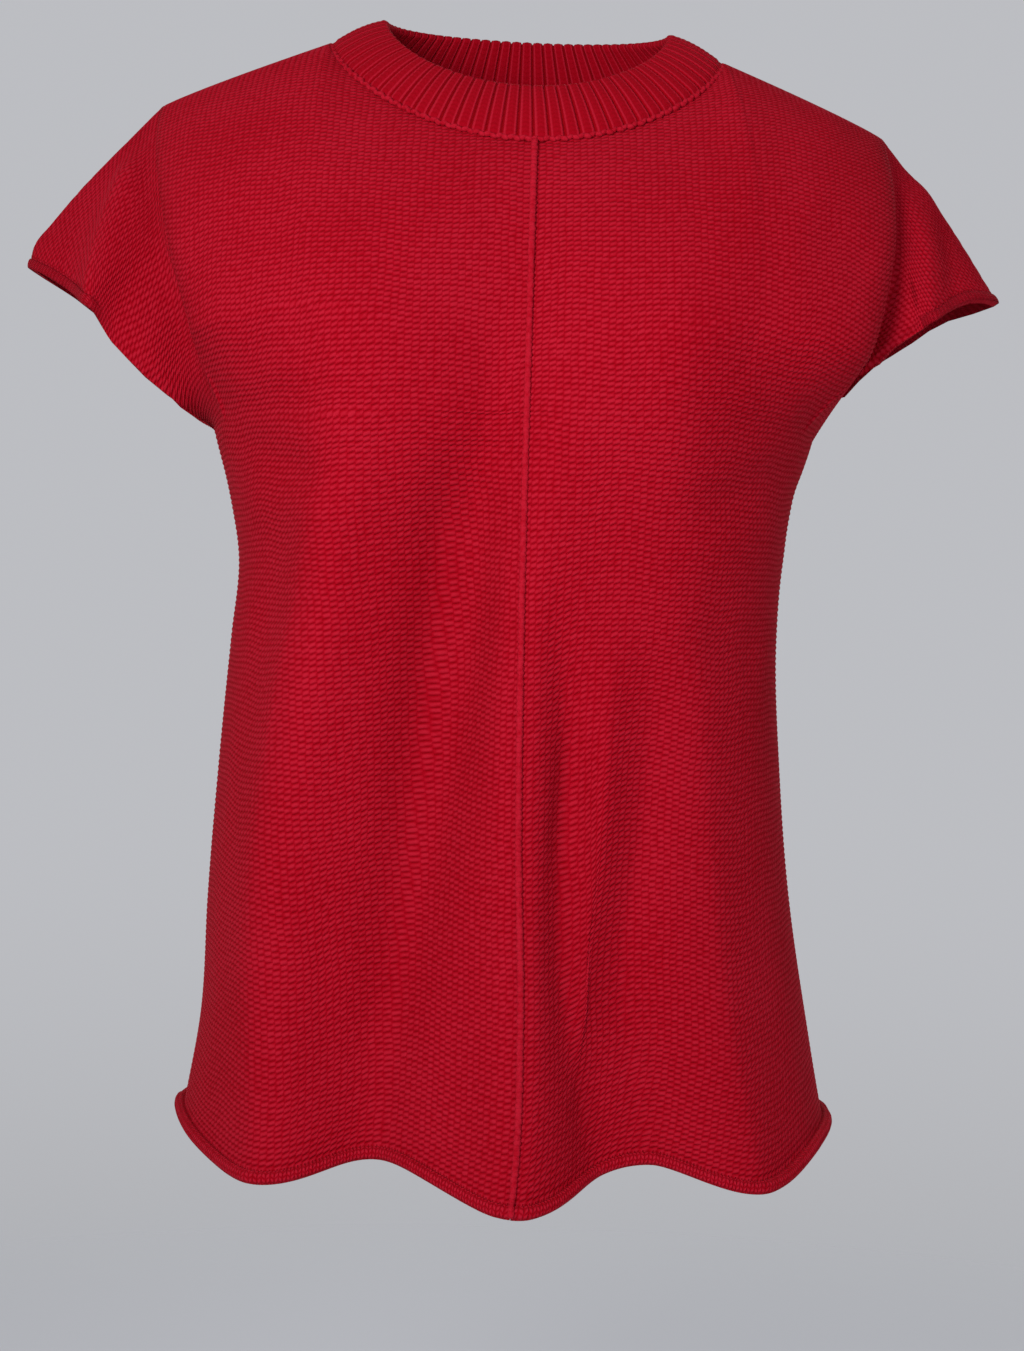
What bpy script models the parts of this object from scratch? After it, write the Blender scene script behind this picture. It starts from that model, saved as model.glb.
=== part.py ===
"""A cap-sleeve knit top in its worn form, hollow and open at the neck, hem and both sleeves.

Metres, +Z up. The front faces -Y, so the wearer's right is at -X. The origin is level with the
points where the neckband meets the shoulder seams, half way between them, on the shoulder line.
The front is two panels that meet at a raised centre seam, the back is one panel, and the cap
sleeves are cut in one with them. A ribbed neckband and two linked seam ridges finish it.
"""

from collections import namedtuple
from math import pi

import bmesh
import bpy
import numpy as np

# Driving dimensions
WALL = 0.0026  # one layer of the chunky knit
BAND_WALL = 0.0044  # the neckband is folded double
SEAM_GAP = 0.0003  # between pieces that meet at a seam
ARMPIT_Z = -0.200
ROLL_RADIUS = 0.0032  # the raw edges of hem and sleeves roll outward
SQUARENESS = 2.25  # of the body's rings: 2 is an ellipse
CHEST_SHARE = 0.62  # of a row's columns lie between the centre and the chest edge
CHEST_REACH = 0.93  # of the half width, where the chest edge starts on the ring at the armpit
ARM_DEPTH = 0.052  # of the sleeve's face, forward or back of the shoulder line
LEAN = -0.030  # the shoulders lie this much lower per metre to the wearer's left

NECK_HALF = 0.102  # neck seam, half its width
NECK_FRONT, NECK_BACK = 0.075, 0.070  # neck seam, forward and back of the shoulder line
NECK_DROP_FRONT, NECK_DROP_BACK = 0.0616, 0.010
NECK_SHARE = 0.56  # of the chest's columns that end on the neck seam
BAND_HALF, BAND_FRONT, BAND_BACK = 0.0735, 0.0555, 0.0590  # the neckband's top edge
BAND_TOP_FRONT, BAND_TOP_SIDE, BAND_TOP_BACK = -0.0297, 0.0140, 0.0220
RIB_COUNT = 80
RIB_RELIEF = 0.0011
RIDGE_HALF_WIDTH, RIDGE_HALF_HEIGHT = 0.0020, 0.0011  # linked seams
SHOULDER_LIFT = 0.0012  # of the neck's linked seam over the shoulders' rounding

RIGHT, LEFT = -1, 1
FRONT, BACK = -1, 1

RED = (0.332, 0.004, 0.013, 1.0)
DEEP_RED = (0.270, 0.003, 0.010, 1.0)

Section = namedtuple("Section", "z right left front back")
SECTIONS = (
    Section(-0.570, 0.1690, 0.1690, 0.1190, 0.1130),
    Section(-0.540, 0.1640, 0.1625, 0.1180, 0.1100),
    Section(-0.500, 0.1575, 0.1550, 0.1165, 0.1060),
    Section(-0.440, 0.1550, 0.1450, 0.1150, 0.1000),
    Section(-0.370, 0.1510, 0.1380, 0.1135, 0.0940),
    Section(-0.305, 0.1460, 0.1350, 0.1125, 0.0920),
    Section(-0.265, 0.1430, 0.1370, 0.1135, 0.0950),
    Section(-0.230, 0.1490, 0.1420, 0.1180, 0.0990),
    Section(-0.200, 0.1570, 0.1510, 0.1225, 0.1020),
    Section(-0.170, 0.1630, 0.1570, 0.1235, 0.1040),
)

# The hem's height across the front and the back, from side seam to side seam
HemPoint = namedtuple("HemPoint", "across z")
HEM = {
    FRONT: (
        HemPoint(-1.00, -0.5490),
        HemPoint(-0.95, -0.5530),
        HemPoint(-0.68, -0.5665),
        HemPoint(-0.39, -0.5550),
        HemPoint(0.02, -0.5735),
        HemPoint(0.42, -0.5550),
        HemPoint(0.74, -0.5670),
        HemPoint(0.95, -0.5530),
        HemPoint(1.00, -0.5490),
    ),
    BACK: (
        HemPoint(-1.00, -0.5490),
        HemPoint(-0.62, -0.5600),
        HemPoint(-0.25, -0.5530),
        HemPoint(0.08, -0.5610),
        HemPoint(0.42, -0.5540),
        HemPoint(0.70, -0.5600),
        HemPoint(1.00, -0.5490),
    ),
}

# Each fold is a soft crest or, with a negative rise, a trough, from the hem up
FoldPoint = namedtuple("FoldPoint", "z x spread rise")
FOLDS = {
    FRONT: {
        "right_crest": (
            FoldPoint(-0.566, -0.115, 0.026, 0.016),
            FoldPoint(-0.420, -0.117, 0.023, 0.012),
            FoldPoint(-0.310, -0.103, 0.020, 0.008),
            FoldPoint(-0.215, -0.080, 0.020, 0.000),
        ),
        "right_trough": (
            FoldPoint(-0.566, -0.064, 0.026, -0.012),
            FoldPoint(-0.420, -0.053, 0.026, -0.011),
            FoldPoint(-0.300, -0.041, 0.024, -0.009),
            FoldPoint(-0.215, -0.034, 0.022, 0.000),
        ),
        "centre_crest": (
            FoldPoint(-0.572, 0.004, 0.030, 0.019),
            FoldPoint(-0.420, 0.005, 0.026, 0.011),
            FoldPoint(-0.300, 0.003, 0.022, 0.006),
            FoldPoint(-0.225, 0.002, 0.018, 0.000),
        ),
        "centre_trough": (
            FoldPoint(-0.566, 0.050, 0.018, -0.006),
            FoldPoint(-0.460, 0.022, 0.010, -0.006),
            FoldPoint(-0.380, 0.024, 0.010, -0.006),
            FoldPoint(-0.270, 0.016, 0.010, 0.000),
        ),
        "small_crest": (
            FoldPoint(-0.540, 0.030, 0.009, 0.000),
            FoldPoint(-0.460, 0.036, 0.009, 0.005),
            FoldPoint(-0.380, 0.042, 0.010, 0.005),
            FoldPoint(-0.290, 0.046, 0.012, 0.000),
        ),
        "left_trough": (
            FoldPoint(-0.566, 0.072, 0.022, -0.010),
            FoldPoint(-0.460, 0.054, 0.014, -0.006),
            FoldPoint(-0.380, 0.062, 0.014, -0.003),
            FoldPoint(-0.300, 0.066, 0.014, 0.000),
        ),
        "left_crest": (
            FoldPoint(-0.566, 0.120, 0.025, 0.015),
            FoldPoint(-0.460, 0.100, 0.024, 0.010),
            FoldPoint(-0.380, 0.092, 0.022, 0.007),
            FoldPoint(-0.240, 0.084, 0.020, 0.000),
        ),
    },
    BACK: {
        "right_crest": (
            FoldPoint(-0.566, -0.105, 0.026, 0.014),
            FoldPoint(-0.400, -0.098, 0.024, 0.009),
            FoldPoint(-0.220, -0.078, 0.022, 0.000),
        ),
        "right_trough": (
            FoldPoint(-0.566, -0.048, 0.024, -0.010),
            FoldPoint(-0.400, -0.046, 0.022, -0.008),
            FoldPoint(-0.240, -0.040, 0.020, 0.000),
        ),
        "centre_crest": (
            FoldPoint(-0.566, 0.012, 0.026, 0.013),
            FoldPoint(-0.400, 0.006, 0.022, 0.007),
            FoldPoint(-0.180, 0.000, 0.020, 0.000),
        ),
        "left_trough": (
            FoldPoint(-0.566, 0.066, 0.022, -0.010),
            FoldPoint(-0.420, 0.056, 0.020, -0.006),
            FoldPoint(-0.270, 0.050, 0.018, 0.000),
        ),
        "left_crest": (
            FoldPoint(-0.566, 0.114, 0.026, 0.013),
            FoldPoint(-0.400, 0.100, 0.024, 0.008),
            FoldPoint(-0.220, 0.084, 0.022, 0.000),
        ),
    },
}

# The front's centre seam wanders this far from the middle, from the hem up
SeamPoint = namedtuple("SeamPoint", "z x")
CENTRE_SEAM = (
    SeamPoint(-0.574, 0.0035),
    SeamPoint(-0.550, 0.0055),
    SeamPoint(-0.490, 0.0065),
    SeamPoint(-0.400, 0.0038),
    SeamPoint(-0.300, 0.0030),
    SeamPoint(-0.180, 0.0035),
    SeamPoint(-0.060, 0.0045),
)

# Lines of the yoke: "up" runs from 0 at the armpit's row to 1 at the shoulder's
YokePoint = namedtuple("YokePoint", "up x z")
CHEST_EDGE = {  # where the chest folds over the sleeve
    RIGHT: (
        YokePoint(0.00, -0.1570, -0.2000),
        YokePoint(0.20, -0.1575, -0.1670),
        YokePoint(0.40, -0.1630, -0.1340),
        YokePoint(0.60, -0.1700, -0.1010),
        YokePoint(0.80, -0.1790, -0.0660),
        YokePoint(1.00, -0.1895, -0.0320),
    ),
    LEFT: (
        YokePoint(0.00, 0.1510, -0.2000),
        YokePoint(0.12, 0.1590, -0.1830),
        YokePoint(0.25, 0.1695, -0.1635),
        YokePoint(0.45, 0.1790, -0.1300),
        YokePoint(0.65, 0.1865, -0.0980),
        YokePoint(0.85, 0.1885, -0.0640),
        YokePoint(1.00, 0.1860, -0.0410),
    ),
}
SLEEVE_EDGE = {  # the raw edge, from the armpit by the front or back corner to the tip
    RIGHT: (
        YokePoint(0.00, -0.1570, -0.2000),
        YokePoint(0.20, -0.1680, -0.1925),
        YokePoint(0.40, -0.1850, -0.1785),
        YokePoint(0.60, -0.2035, -0.1610),
        YokePoint(0.80, -0.2190, -0.1410),
        YokePoint(0.90, -0.2380, -0.1270),
        YokePoint(1.00, -0.2564, -0.1168),
    ),
    LEFT: (
        YokePoint(0.00, 0.1510, -0.2000),
        YokePoint(0.20, 0.1650, -0.1810),
        YokePoint(0.40, 0.1810, -0.1640),
        YokePoint(0.60, 0.1960, -0.1530),
        YokePoint(0.80, 0.2080, -0.1430),
        YokePoint(0.90, 0.2260, -0.1285),
        YokePoint(1.00, 0.2475, -0.1245),
    ),
}
OverarmPoint = namedtuple("OverarmPoint", "along x z")
OVERARM = {  # the shoulder seam's run over the arm, from the shoulder point to the tip
    RIGHT: (
        OverarmPoint(0.00, -0.1895, -0.0320),
        OverarmPoint(0.22, -0.2085, -0.0520),
        OverarmPoint(0.45, -0.2285, -0.0733),
        OverarmPoint(0.68, -0.2455, -0.0940),
        OverarmPoint(0.85, -0.2535, -0.1045),
        OverarmPoint(1.00, -0.2564, -0.1168),
    ),
    LEFT: (
        OverarmPoint(0.00, 0.1860, -0.0410),
        OverarmPoint(0.22, 0.2010, -0.0600),
        OverarmPoint(0.45, 0.2187, -0.0812),
        OverarmPoint(0.68, 0.2310, -0.0990),
        OverarmPoint(0.85, 0.2405, -0.1140),
        OverarmPoint(1.00, 0.2475, -0.1245),
    ),
}
RoundingPoint = namedtuple("RoundingPoint", "chest power")
SHOULDER_ROUNDING = (  # how fully the cloth rounds over to the top row: 1 is nearly straight
    RoundingPoint(0.00, 0.95),
    RoundingPoint(0.35, 0.88),
    RoundingPoint(0.56, 0.66),
    RoundingPoint(1.00, 0.36),
)
FOLD_TUCK = {FRONT: 0.009, BACK: 0.004}  # how far the sleeve's cloth goes in behind the chest edge
FOLD_DEPTH = {FRONT: 0.066, BACK: 0.058}  # the chest edge, forward or back of the shoulder line
YOKE_TURN = 0.25  # share of the yoke's height in which a body ring turns into chest and sleeve

# Mesh density
NECK_COLUMNS, SHOULDER_COLUMNS, SLEEVE_COLUMNS = 8, 5, 6
BODY_ROWS, YOKE_ROWS = 12, 14
ROLL_STEPS = (0.0, 0.18, 0.60, 1.0)  # across a rolled edge, as shares of its width
COLUMNS_PER_RIB = 4
RIDGE_SIDES = 6


def smooth(t):
    t = np.clip(t, 0.0, 1.0)
    return t * t * (3.0 - 2.0 * t)


def mix(a, b, t):
    return a + (b - a) * t


def rounded(t, power):
    """Rises from 0, steeply at first, to 1 at t = 1: a quarter of a superellipse."""
    return (1.0 - (1.0 - np.clip(t, 0.0, 1.0)) ** power) ** (1.0 / power)


def read(rows, column, at):
    """Smooth curve through one column of a table whose first column rises."""
    keys = np.array([row[0] for row in rows])
    values = np.array([getattr(row, column) for row in rows])
    slopes = np.gradient(values, keys)
    at = np.clip(at, keys[0], keys[-1])
    i = np.clip(np.searchsorted(keys, at, side="right") - 1, 0, len(keys) - 2)
    span = keys[i + 1] - keys[i]
    t = (at - keys[i]) / span
    start = (2.0 * t**3 - 3.0 * t**2 + 1.0) * values[i] + (t**3 - 2.0 * t**2 + t) * span * slopes[i]
    end = (3.0 * t**2 - 2.0 * t**3) * values[i + 1] + (t**3 - t**2) * span * slopes[i + 1]
    return start + end


def ring_share(across):
    """A column's place on a body ring, 0 at the centre and 1 at the side seam."""
    chest = np.arcsin(CHEST_REACH)
    to_edge = across / CHEST_SHARE * chest
    past_edge = mix(chest, pi / 2, (across - CHEST_SHARE) / (1.0 - CHEST_SHARE))
    return np.sin(np.where(across < CHEST_SHARE, to_edge, past_edge))


def ring_depth(share):
    """A ring's depth there, 1 at the centre and 0 at the side seam."""
    return np.clip(1.0 - share**SQUARENESS, 0.0, 1.0) ** (1.0 / SQUARENESS)


def fold_rise(face, x, z):
    rise = np.zeros_like(x)
    for rows in FOLDS[face].values():
        off = np.abs(x - read(rows, "x", z)) / read(rows, "spread", z)
        rise = rise + read(rows, "rise", z) * np.exp(-(off**1.6))
    return rise


def seam_shift(face, share, z):
    """How far the centre seam's wandering carries the cloth beside it."""
    if face == BACK:
        return np.zeros_like(z)
    return read(CENTRE_SEAM, "x", z) * (1.0 - share) ** 2


def body_points(side, face, across, up):
    """Below the armpit: rings from the hem, where up is 0, to the armpit, where it is 1."""
    share = ring_share(across)
    z = mix(read(HEM[face], "z", side * share), ARMPIT_Z, up)
    half = read(SECTIONS, "right" if side == RIGHT else "left", z)
    depth = read(SECTIONS, "front" if face == FRONT else "back", z)
    x = side * share * half
    rise = fold_rise(face, x, z) * smooth((1.0 - share) / 0.10)
    y = face * (depth * ring_depth(share) + rise * (1.0 - 0.5 * share**2))
    x = x + seam_shift(face, share, z) + side * rise * 0.3 * share
    return np.stack([x, y, z], axis=-1)


def neck_seam(angle):
    """The seam between body and band: angle 0 is the centre front, a quarter turn the left side."""
    c = np.cos(angle)
    bow = np.abs(c) ** 1.35
    x = NECK_HALF * np.sin(angle)
    y = np.where(c > 0.0, -NECK_FRONT, -NECK_BACK) * c
    z = np.where(c > 0.0, -NECK_DROP_FRONT, -NECK_DROP_BACK) * bow + LEAN * x
    return np.stack([x, y, z], axis=-1)


def band_top(angle):
    """The neckband's folded top edge."""
    c = np.cos(angle)
    x = BAND_HALF * np.sin(angle)
    y = np.where(c > 0.0, -BAND_FRONT, -BAND_BACK) * c
    front = mix(BAND_TOP_SIDE, BAND_TOP_FRONT, np.abs(c) ** 1.2)
    back = mix(BAND_TOP_SIDE, BAND_TOP_BACK, np.abs(c))
    z = np.where(c > 0.0, front, back) + LEAN * x
    return np.stack([x, y, z], axis=-1)


def band_frame(angle):
    """Directions at the neck seam: up the band, and out of its face."""
    step = 0.01
    along = neck_seam(angle + step) - neck_seam(angle - step)
    rise = band_top(angle) - neck_seam(angle)
    rise /= np.linalg.norm(rise, axis=-1, keepdims=True)
    out = np.cross(along, rise)
    out /= np.linalg.norm(out, axis=-1, keepdims=True)
    return rise, out


def neck_angle(side, face, chest):
    """The neck seam's angle over a chest column, a share of the way to the shoulder point."""
    turn = np.clip(chest / NECK_SHARE, 0.0, 1.0)
    centre = np.arcsin(CENTRE_SEAM[-1].x / NECK_HALF) if face == FRONT else side * pi
    return mix(centre, side * pi / 2, turn)


def along_seam(shape, angle):
    """A shape read along the neck seam as it is sewn: straight between the panels' columns."""
    columns = np.linspace(0.0, NECK_SHARE, NECK_COLUMNS + 1)
    quarters = [neck_angle(side, face, columns) for side in (RIGHT, LEFT) for face in (FRONT, BACK)]
    corners = np.unique(np.round(np.concatenate(quarters), 9))
    values = shape(corners)
    wrapped = (angle + pi) % (2.0 * pi) - pi
    return np.stack([np.interp(wrapped, corners, values[:, k]) for k in range(3)], axis=-1)


def yoke_top(side, face, chest):
    """The top row: the neck seam, then the shoulder seam to the shoulder point."""
    neck = neck_seam(neck_angle(side, face, chest))
    along = np.clip((chest - NECK_SHARE) / (1.0 - NECK_SHARE), 0.0, 1.0)[..., None]
    shoulder = np.array([CHEST_EDGE[side][-1].x, 0.0, CHEST_EDGE[side][-1].z])
    return mix(neck, shoulder, along)


def chest_points(side, face, across, up):
    """Between the centre and the chest edge, from the armpit's row to the top row."""
    chest = np.clip(across / CHEST_SHARE, 0.0, 1.0)
    turned = smooth(up / YOKE_TURN)
    share = ring_share(np.minimum(across, CHEST_SHARE)) * mix(1.0, 1.0 / CHEST_REACH, turned)
    depth = read(SECTIONS, "front" if face == FRONT else "back", ARMPIT_Z)
    edge_ring = ring_depth(mix(CHEST_REACH, 1.0, turned))
    edge_y = mix(depth * ring_depth(CHEST_REACH), FOLD_DEPTH[face] * rounded((1.0 - up) / 0.75, 2.0), turned)
    inward = (ring_depth(np.clip(share, 0.0, 1.0)) - edge_ring) / (1.0 - edge_ring)
    row_y = mix(edge_y, depth, inward)
    top = yoke_top(side, face, chest)
    shoulder_z = CHEST_EDGE[side][-1].z
    edge_drop = read(CHEST_EDGE[side], "z", up) - mix(ARMPIT_Z, shoulder_z, up)
    z = mix(ARMPIT_Z, top[..., 2], up) + edge_drop * smooth(chest) ** 2
    row_x = read(CHEST_EDGE[side], "x", up) * share + seam_shift(face, chest, z)
    x = mix(row_x, top[..., 0], up**1.5)
    over = (1.0 - up**2.2) ** read(SHOULDER_ROUNDING, "power", chest)
    y = mix(np.abs(top[..., 1]), row_y, over)
    return np.stack([x, face * y, z], axis=-1)


def sleeve_points(side, face, across, up):
    """From the chest edge out to the sleeve's raw edge; at the armpit's row, to the side seam."""
    out = np.clip((across - CHEST_SHARE) / (1.0 - CHEST_SHARE), 0.0, 1.0)
    start = chest_points(side, face, np.full_like(across, CHEST_SHARE), up)
    end_x = read(SLEEVE_EDGE[side], "x", up)
    end_z = read(SLEEVE_EDGE[side], "z", up)
    first, last = OVERARM[side][0], OVERARM[side][-1]
    bulge = up**4
    turned = smooth(up / YOKE_TURN)
    tuck = FOLD_TUCK[face] * np.exp(-(((out - 0.16) / 0.10) ** 2)) * (1.0 - up) * smooth(up / 0.45)
    x = mix(start[..., 0], end_x, out) - side * tuck
    x = x + (read(OVERARM[side], "x", out) - mix(first.x, last.x, out)) * bulge
    z = mix(start[..., 2], end_z, out)
    z = z + (read(OVERARM[side], "z", out) - mix(first.z, last.z, out)) * bulge
    over = rounded((1.0 - up) / mix(0.45, 0.20, out), 1.5)
    under = rounded(up / 0.45, 1.5)
    behind = mix(out, smooth(out / 0.30), smooth(up / 0.55))
    y = mix(np.abs(start[..., 1]), mix(0.046, ARM_DEPTH, out) * over * under, behind)
    sleeve = np.stack([x, face * y, z], axis=-1)
    ring = body_points(side, face, across, np.ones_like(up))
    return mix(ring, sleeve, turned[..., None])


def half_surface(side, face, across, up):
    """Half of the front or back. up is 0 at the hem, 1 at the armpit and 2 at the top row."""
    yoke = np.clip(up - 1.0, 0.0, 1.0)
    body = body_points(side, face, across, np.clip(up, 0.0, 1.0))
    chest = chest_points(side, face, across, yoke)
    sleeve = sleeve_points(side, face, across, yoke)
    upper = np.where((across < CHEST_SHARE)[..., None], chest, sleeve)
    return np.where((up < 1.0)[..., None], body, upper)


def surface_normals(points, side, face):
    """Unit normals out of the garment, from the grid's own rows and columns."""
    rows = np.gradient(points, axis=0)
    columns = np.gradient(points, axis=1)
    normals = np.cross(columns, rows) * side * -face
    return normals / np.linalg.norm(normals, axis=-1, keepdims=True)


def roll_profile(distance):
    """Height of a rolled edge over the wall, at a distance from the edge."""
    share = np.clip(distance / (2.0 * ROLL_RADIUS), 0.0, 1.0)
    return ROLL_RADIUS * np.sqrt(1.0 - (2.0 * share - 1.0) ** 2)


def grid_lines():
    """Columns (share across, distance from the sleeve's edge) and rows (up, distance from the hem)."""
    roll = [step * 2.0 * ROLL_RADIUS for step in ROLL_STEPS] + [2.6 * ROLL_RADIUS]
    neck = np.linspace(0.0, NECK_SHARE, NECK_COLUMNS + 1)
    shoulder = np.linspace(NECK_SHARE, 1.0, SHOULDER_COLUMNS + 1)[1:]
    chest = np.concatenate([neck, shoulder]) * CHEST_SHARE
    sleeve = CHEST_SHARE + (1.0 - CHEST_SHARE) * np.linspace(0.0, 0.82, SLEEVE_COLUMNS)[1:]
    body = np.linspace(0.035, 1.0, BODY_ROWS)
    turn = np.linspace(0.0, pi / 2, YOKE_ROWS + 1)[1:]
    yoke = 1.0 + mix(np.sin(turn), np.sin(turn) ** 2, 0.5)
    return chest, sleeve, body, yoke, np.array(roll)


def half_grid(side, face):
    """Outer and inner points of half a front or back, rolled edges included."""
    chest, sleeve, body, yoke, roll = grid_lines()
    hem_length = 0.36
    up = np.concatenate([roll / hem_length, body, yoke])
    inner_columns = np.concatenate([chest, sleeve])
    shortest_span = 0.060
    edge_span = np.linalg.norm(
        half_surface(side, face, np.ones_like(up), up)
        - half_surface(side, face, np.full_like(up, CHEST_SHARE), up),
        axis=-1,
    )
    from_edge = roll[::-1] / np.maximum(edge_span, shortest_span)[:, None]
    edge_columns = 1.0 - (1.0 - CHEST_SHARE) * from_edge
    across = np.concatenate([np.tile(inner_columns, (len(up), 1)), edge_columns], axis=1)
    up = np.tile(up[:, None], (1, across.shape[1]))
    points = half_surface(side, face, across, up)
    normals = surface_normals(points, side, face)

    chest_share = across[-1] / CHEST_SHARE
    neck_columns = chest_share <= NECK_SHARE + 1e-6
    shoulder_columns = chest_share >= NECK_SHARE - 1e-6
    below_armpit = up[:, -1] <= 1.0
    normals[:, 0, 0] = 0.0
    normals[-1, neck_columns] = band_frame(neck_angle(side, face, chest_share[neck_columns]))[1]
    normals[below_armpit, -1, 1] = 0.0
    normals[-1, shoulder_columns, 1] = 0.0
    normals /= np.linalg.norm(normals, axis=-1, keepdims=True)

    on_sleeve = smooth((up - 1.0) / (1.5 * YOKE_TURN))
    sleeve_distance = np.concatenate([np.full(len(inner_columns), 1.0), roll[::-1]])
    hem_distance = up * hem_length
    raised = np.maximum(roll_profile(sleeve_distance)[None, :] * on_sleeve, roll_profile(hem_distance))
    outer = points + normals * raised[..., None]
    inner = points - normals * WALL

    for shell in (outer, inner):
        shell[below_armpit, -1, 1] = face * SEAM_GAP / 2
        shell[-1, shoulder_columns, 1] = face * SEAM_GAP / 2
        if face == FRONT:
            seam = read(CENTRE_SEAM, "x", points[:, 0, 2])
            shell[:, 0, 0] = seam + side * SEAM_GAP / 2
    return outer, inner


def clear_scene():
    for item in list(bpy.data.objects):
        bpy.data.objects.remove(item)


def knit_material(name, colour):
    material = bpy.data.materials.new(name)
    material.use_nodes = True
    shader = material.node_tree.nodes["Principled BSDF"]
    shader.inputs["Base Color"].default_value = colour
    shader.inputs["Roughness"].default_value = 0.85
    shader.inputs["Metallic"].default_value = 0.0
    material.diffuse_color = colour
    return material


def add_object(name, mesh_builder, material):
    mesh = bpy.data.meshes.new(name)
    mesh_builder.to_mesh(mesh)
    mesh_builder.free()
    mesh.shade_smooth()
    mesh.set_sharp_from_angle(angle=pi / 5)
    mesh.materials.append(material)
    item = bpy.data.objects.new(name, mesh)
    bpy.context.scene.collection.objects.link(item)
    return item


def wall_mesh(outer, inner):
    """A closed wall between two grids of points, with faces outward."""
    build = bmesh.new()
    sheets = [[[build.verts.new(p) for p in row] for row in grid] for grid in (outer, inner)]
    front, back = sheets
    rows, columns = len(front), len(front[0])
    for i in range(rows - 1):
        for j in range(columns - 1):
            build.faces.new((front[i][j], front[i][j + 1], front[i + 1][j + 1], front[i + 1][j]))
            build.faces.new((back[i][j], back[i + 1][j], back[i + 1][j + 1], back[i][j + 1]))
    for j in range(columns - 1):
        build.faces.new((front[0][j], back[0][j], back[0][j + 1], front[0][j + 1]))
        build.faces.new((front[-1][j], front[-1][j + 1], back[-1][j + 1], back[-1][j]))
    for i in range(rows - 1):
        build.faces.new((front[i][0], front[i + 1][0], back[i + 1][0], back[i][0]))
        build.faces.new((front[i][-1], back[i][-1], back[i + 1][-1], front[i + 1][-1]))
    bmesh.ops.recalc_face_normals(build, faces=build.faces)
    return build


def tube_mesh(rings, closed):
    """A solid through rings of points, closed on itself or with flat ends."""
    build = bmesh.new()
    loops = [[build.verts.new(p) for p in ring] for ring in rings]
    sides = len(loops[0])
    last = len(loops) if closed else len(loops) - 1
    for i in range(last):
        here, there = loops[i], loops[(i + 1) % len(loops)]
        for k in range(sides):
            n = (k + 1) % sides
            build.faces.new((here[k], here[n], there[n], there[k]))
    if not closed:
        build.faces.new(loops[0])
        build.faces.new(reversed(loops[-1]))
    bmesh.ops.recalc_face_normals(build, faces=build.faces)
    return build


def front_panel(side):
    name = "front_right" if side == RIGHT else "front_left"
    outer, inner = half_grid(side, FRONT)
    return add_object(name, wall_mesh(outer, inner), knit_material(name, RED))


def back_panel():
    """Both halves on one grid, which share the centre column."""
    right = half_grid(RIGHT, BACK)
    left = half_grid(LEFT, BACK)
    outer, inner = (np.concatenate([r[:, :0:-1], l], axis=1) for r, l in zip(right, left))
    return add_object("back", wall_mesh(outer, inner), knit_material("back", RED))


def neckband():
    """A folded ribbed ring: its ribs are raised on the outside over a plain inside."""
    count = RIB_COUNT * COLUMNS_PER_RIB
    angles = np.arange(count) * 2.0 * pi / count
    rib = np.cos(np.arange(count) * 2.0 * pi / COLUMNS_PER_RIB)
    rise = along_seam(lambda angle: band_frame(angle)[0], angles)
    out = along_seam(lambda angle: band_frame(angle)[1], angles)
    low = along_seam(neck_seam, angles) + rise * SEAM_GAP
    top = band_top(angles)
    # Share of the way up, height over the seam's face as a share of the wall, and rib relief
    outside = ((0.0, 0.0, 0.0), (0.17, 0.12, 0.8), (0.58, 0.32, 1.0), (0.94, 0.08, 1.0))
    fold = ((1.03, -0.50, 0.6),)
    inside = ((0.92, -1.0, 0.0), (0.0, -1.0, 0.0))
    rings = []
    for share, height, relief in outside + fold + inside:
        lifted = height * BAND_WALL + relief * RIB_RELIEF * rib
        rings.append(mix(low, top, share) + out * lifted[:, None])
    build = tube_mesh(np.stack(rings, axis=1), closed=True)
    return add_object("neckband", build, knit_material("neckband", DEEP_RED))


def ridge_rings(path, out, sideways):
    """Oval sections along a path that lies on the cloth."""
    turns = np.arange(RIDGE_SIDES) * 2.0 * pi / RIDGE_SIDES
    centre = path + out * (SEAM_GAP + RIDGE_HALF_HEIGHT)
    wide = sideways[:, None] * (RIDGE_HALF_WIDTH * np.cos(turns))[None, :, None]
    high = out[:, None] * (RIDGE_HALF_HEIGHT * np.sin(turns))[None, :, None]
    return centre[:, None] + wide + high


def panel_normals_at_neck(angles):
    """Normals of the front and back just below the neck seam."""
    turn = np.arcsin(np.abs(np.sin(angles))) / (pi / 2)
    across = turn * NECK_SHARE * CHEST_SHARE
    below, step = 1.985, 0.01
    normals = np.zeros((len(angles), 3))
    for side in (RIGHT, LEFT):
        for face in (FRONT, BACK):
            here = (np.sin(angles) * side >= 0.0) & (np.cos(angles) * -face >= 0.0)
            levels = np.full_like(across, below)
            rows = half_surface(side, face, across, levels + step)
            rows = rows - half_surface(side, face, across, levels - step)
            columns = half_surface(side, face, across + step, levels)
            columns = columns - half_surface(side, face, np.maximum(across - step, 0.0), levels)
            found = np.cross(columns, rows) * side * -face
            normals[here] = found[here]
    return normals / np.linalg.norm(normals, axis=-1, keepdims=True)


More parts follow.
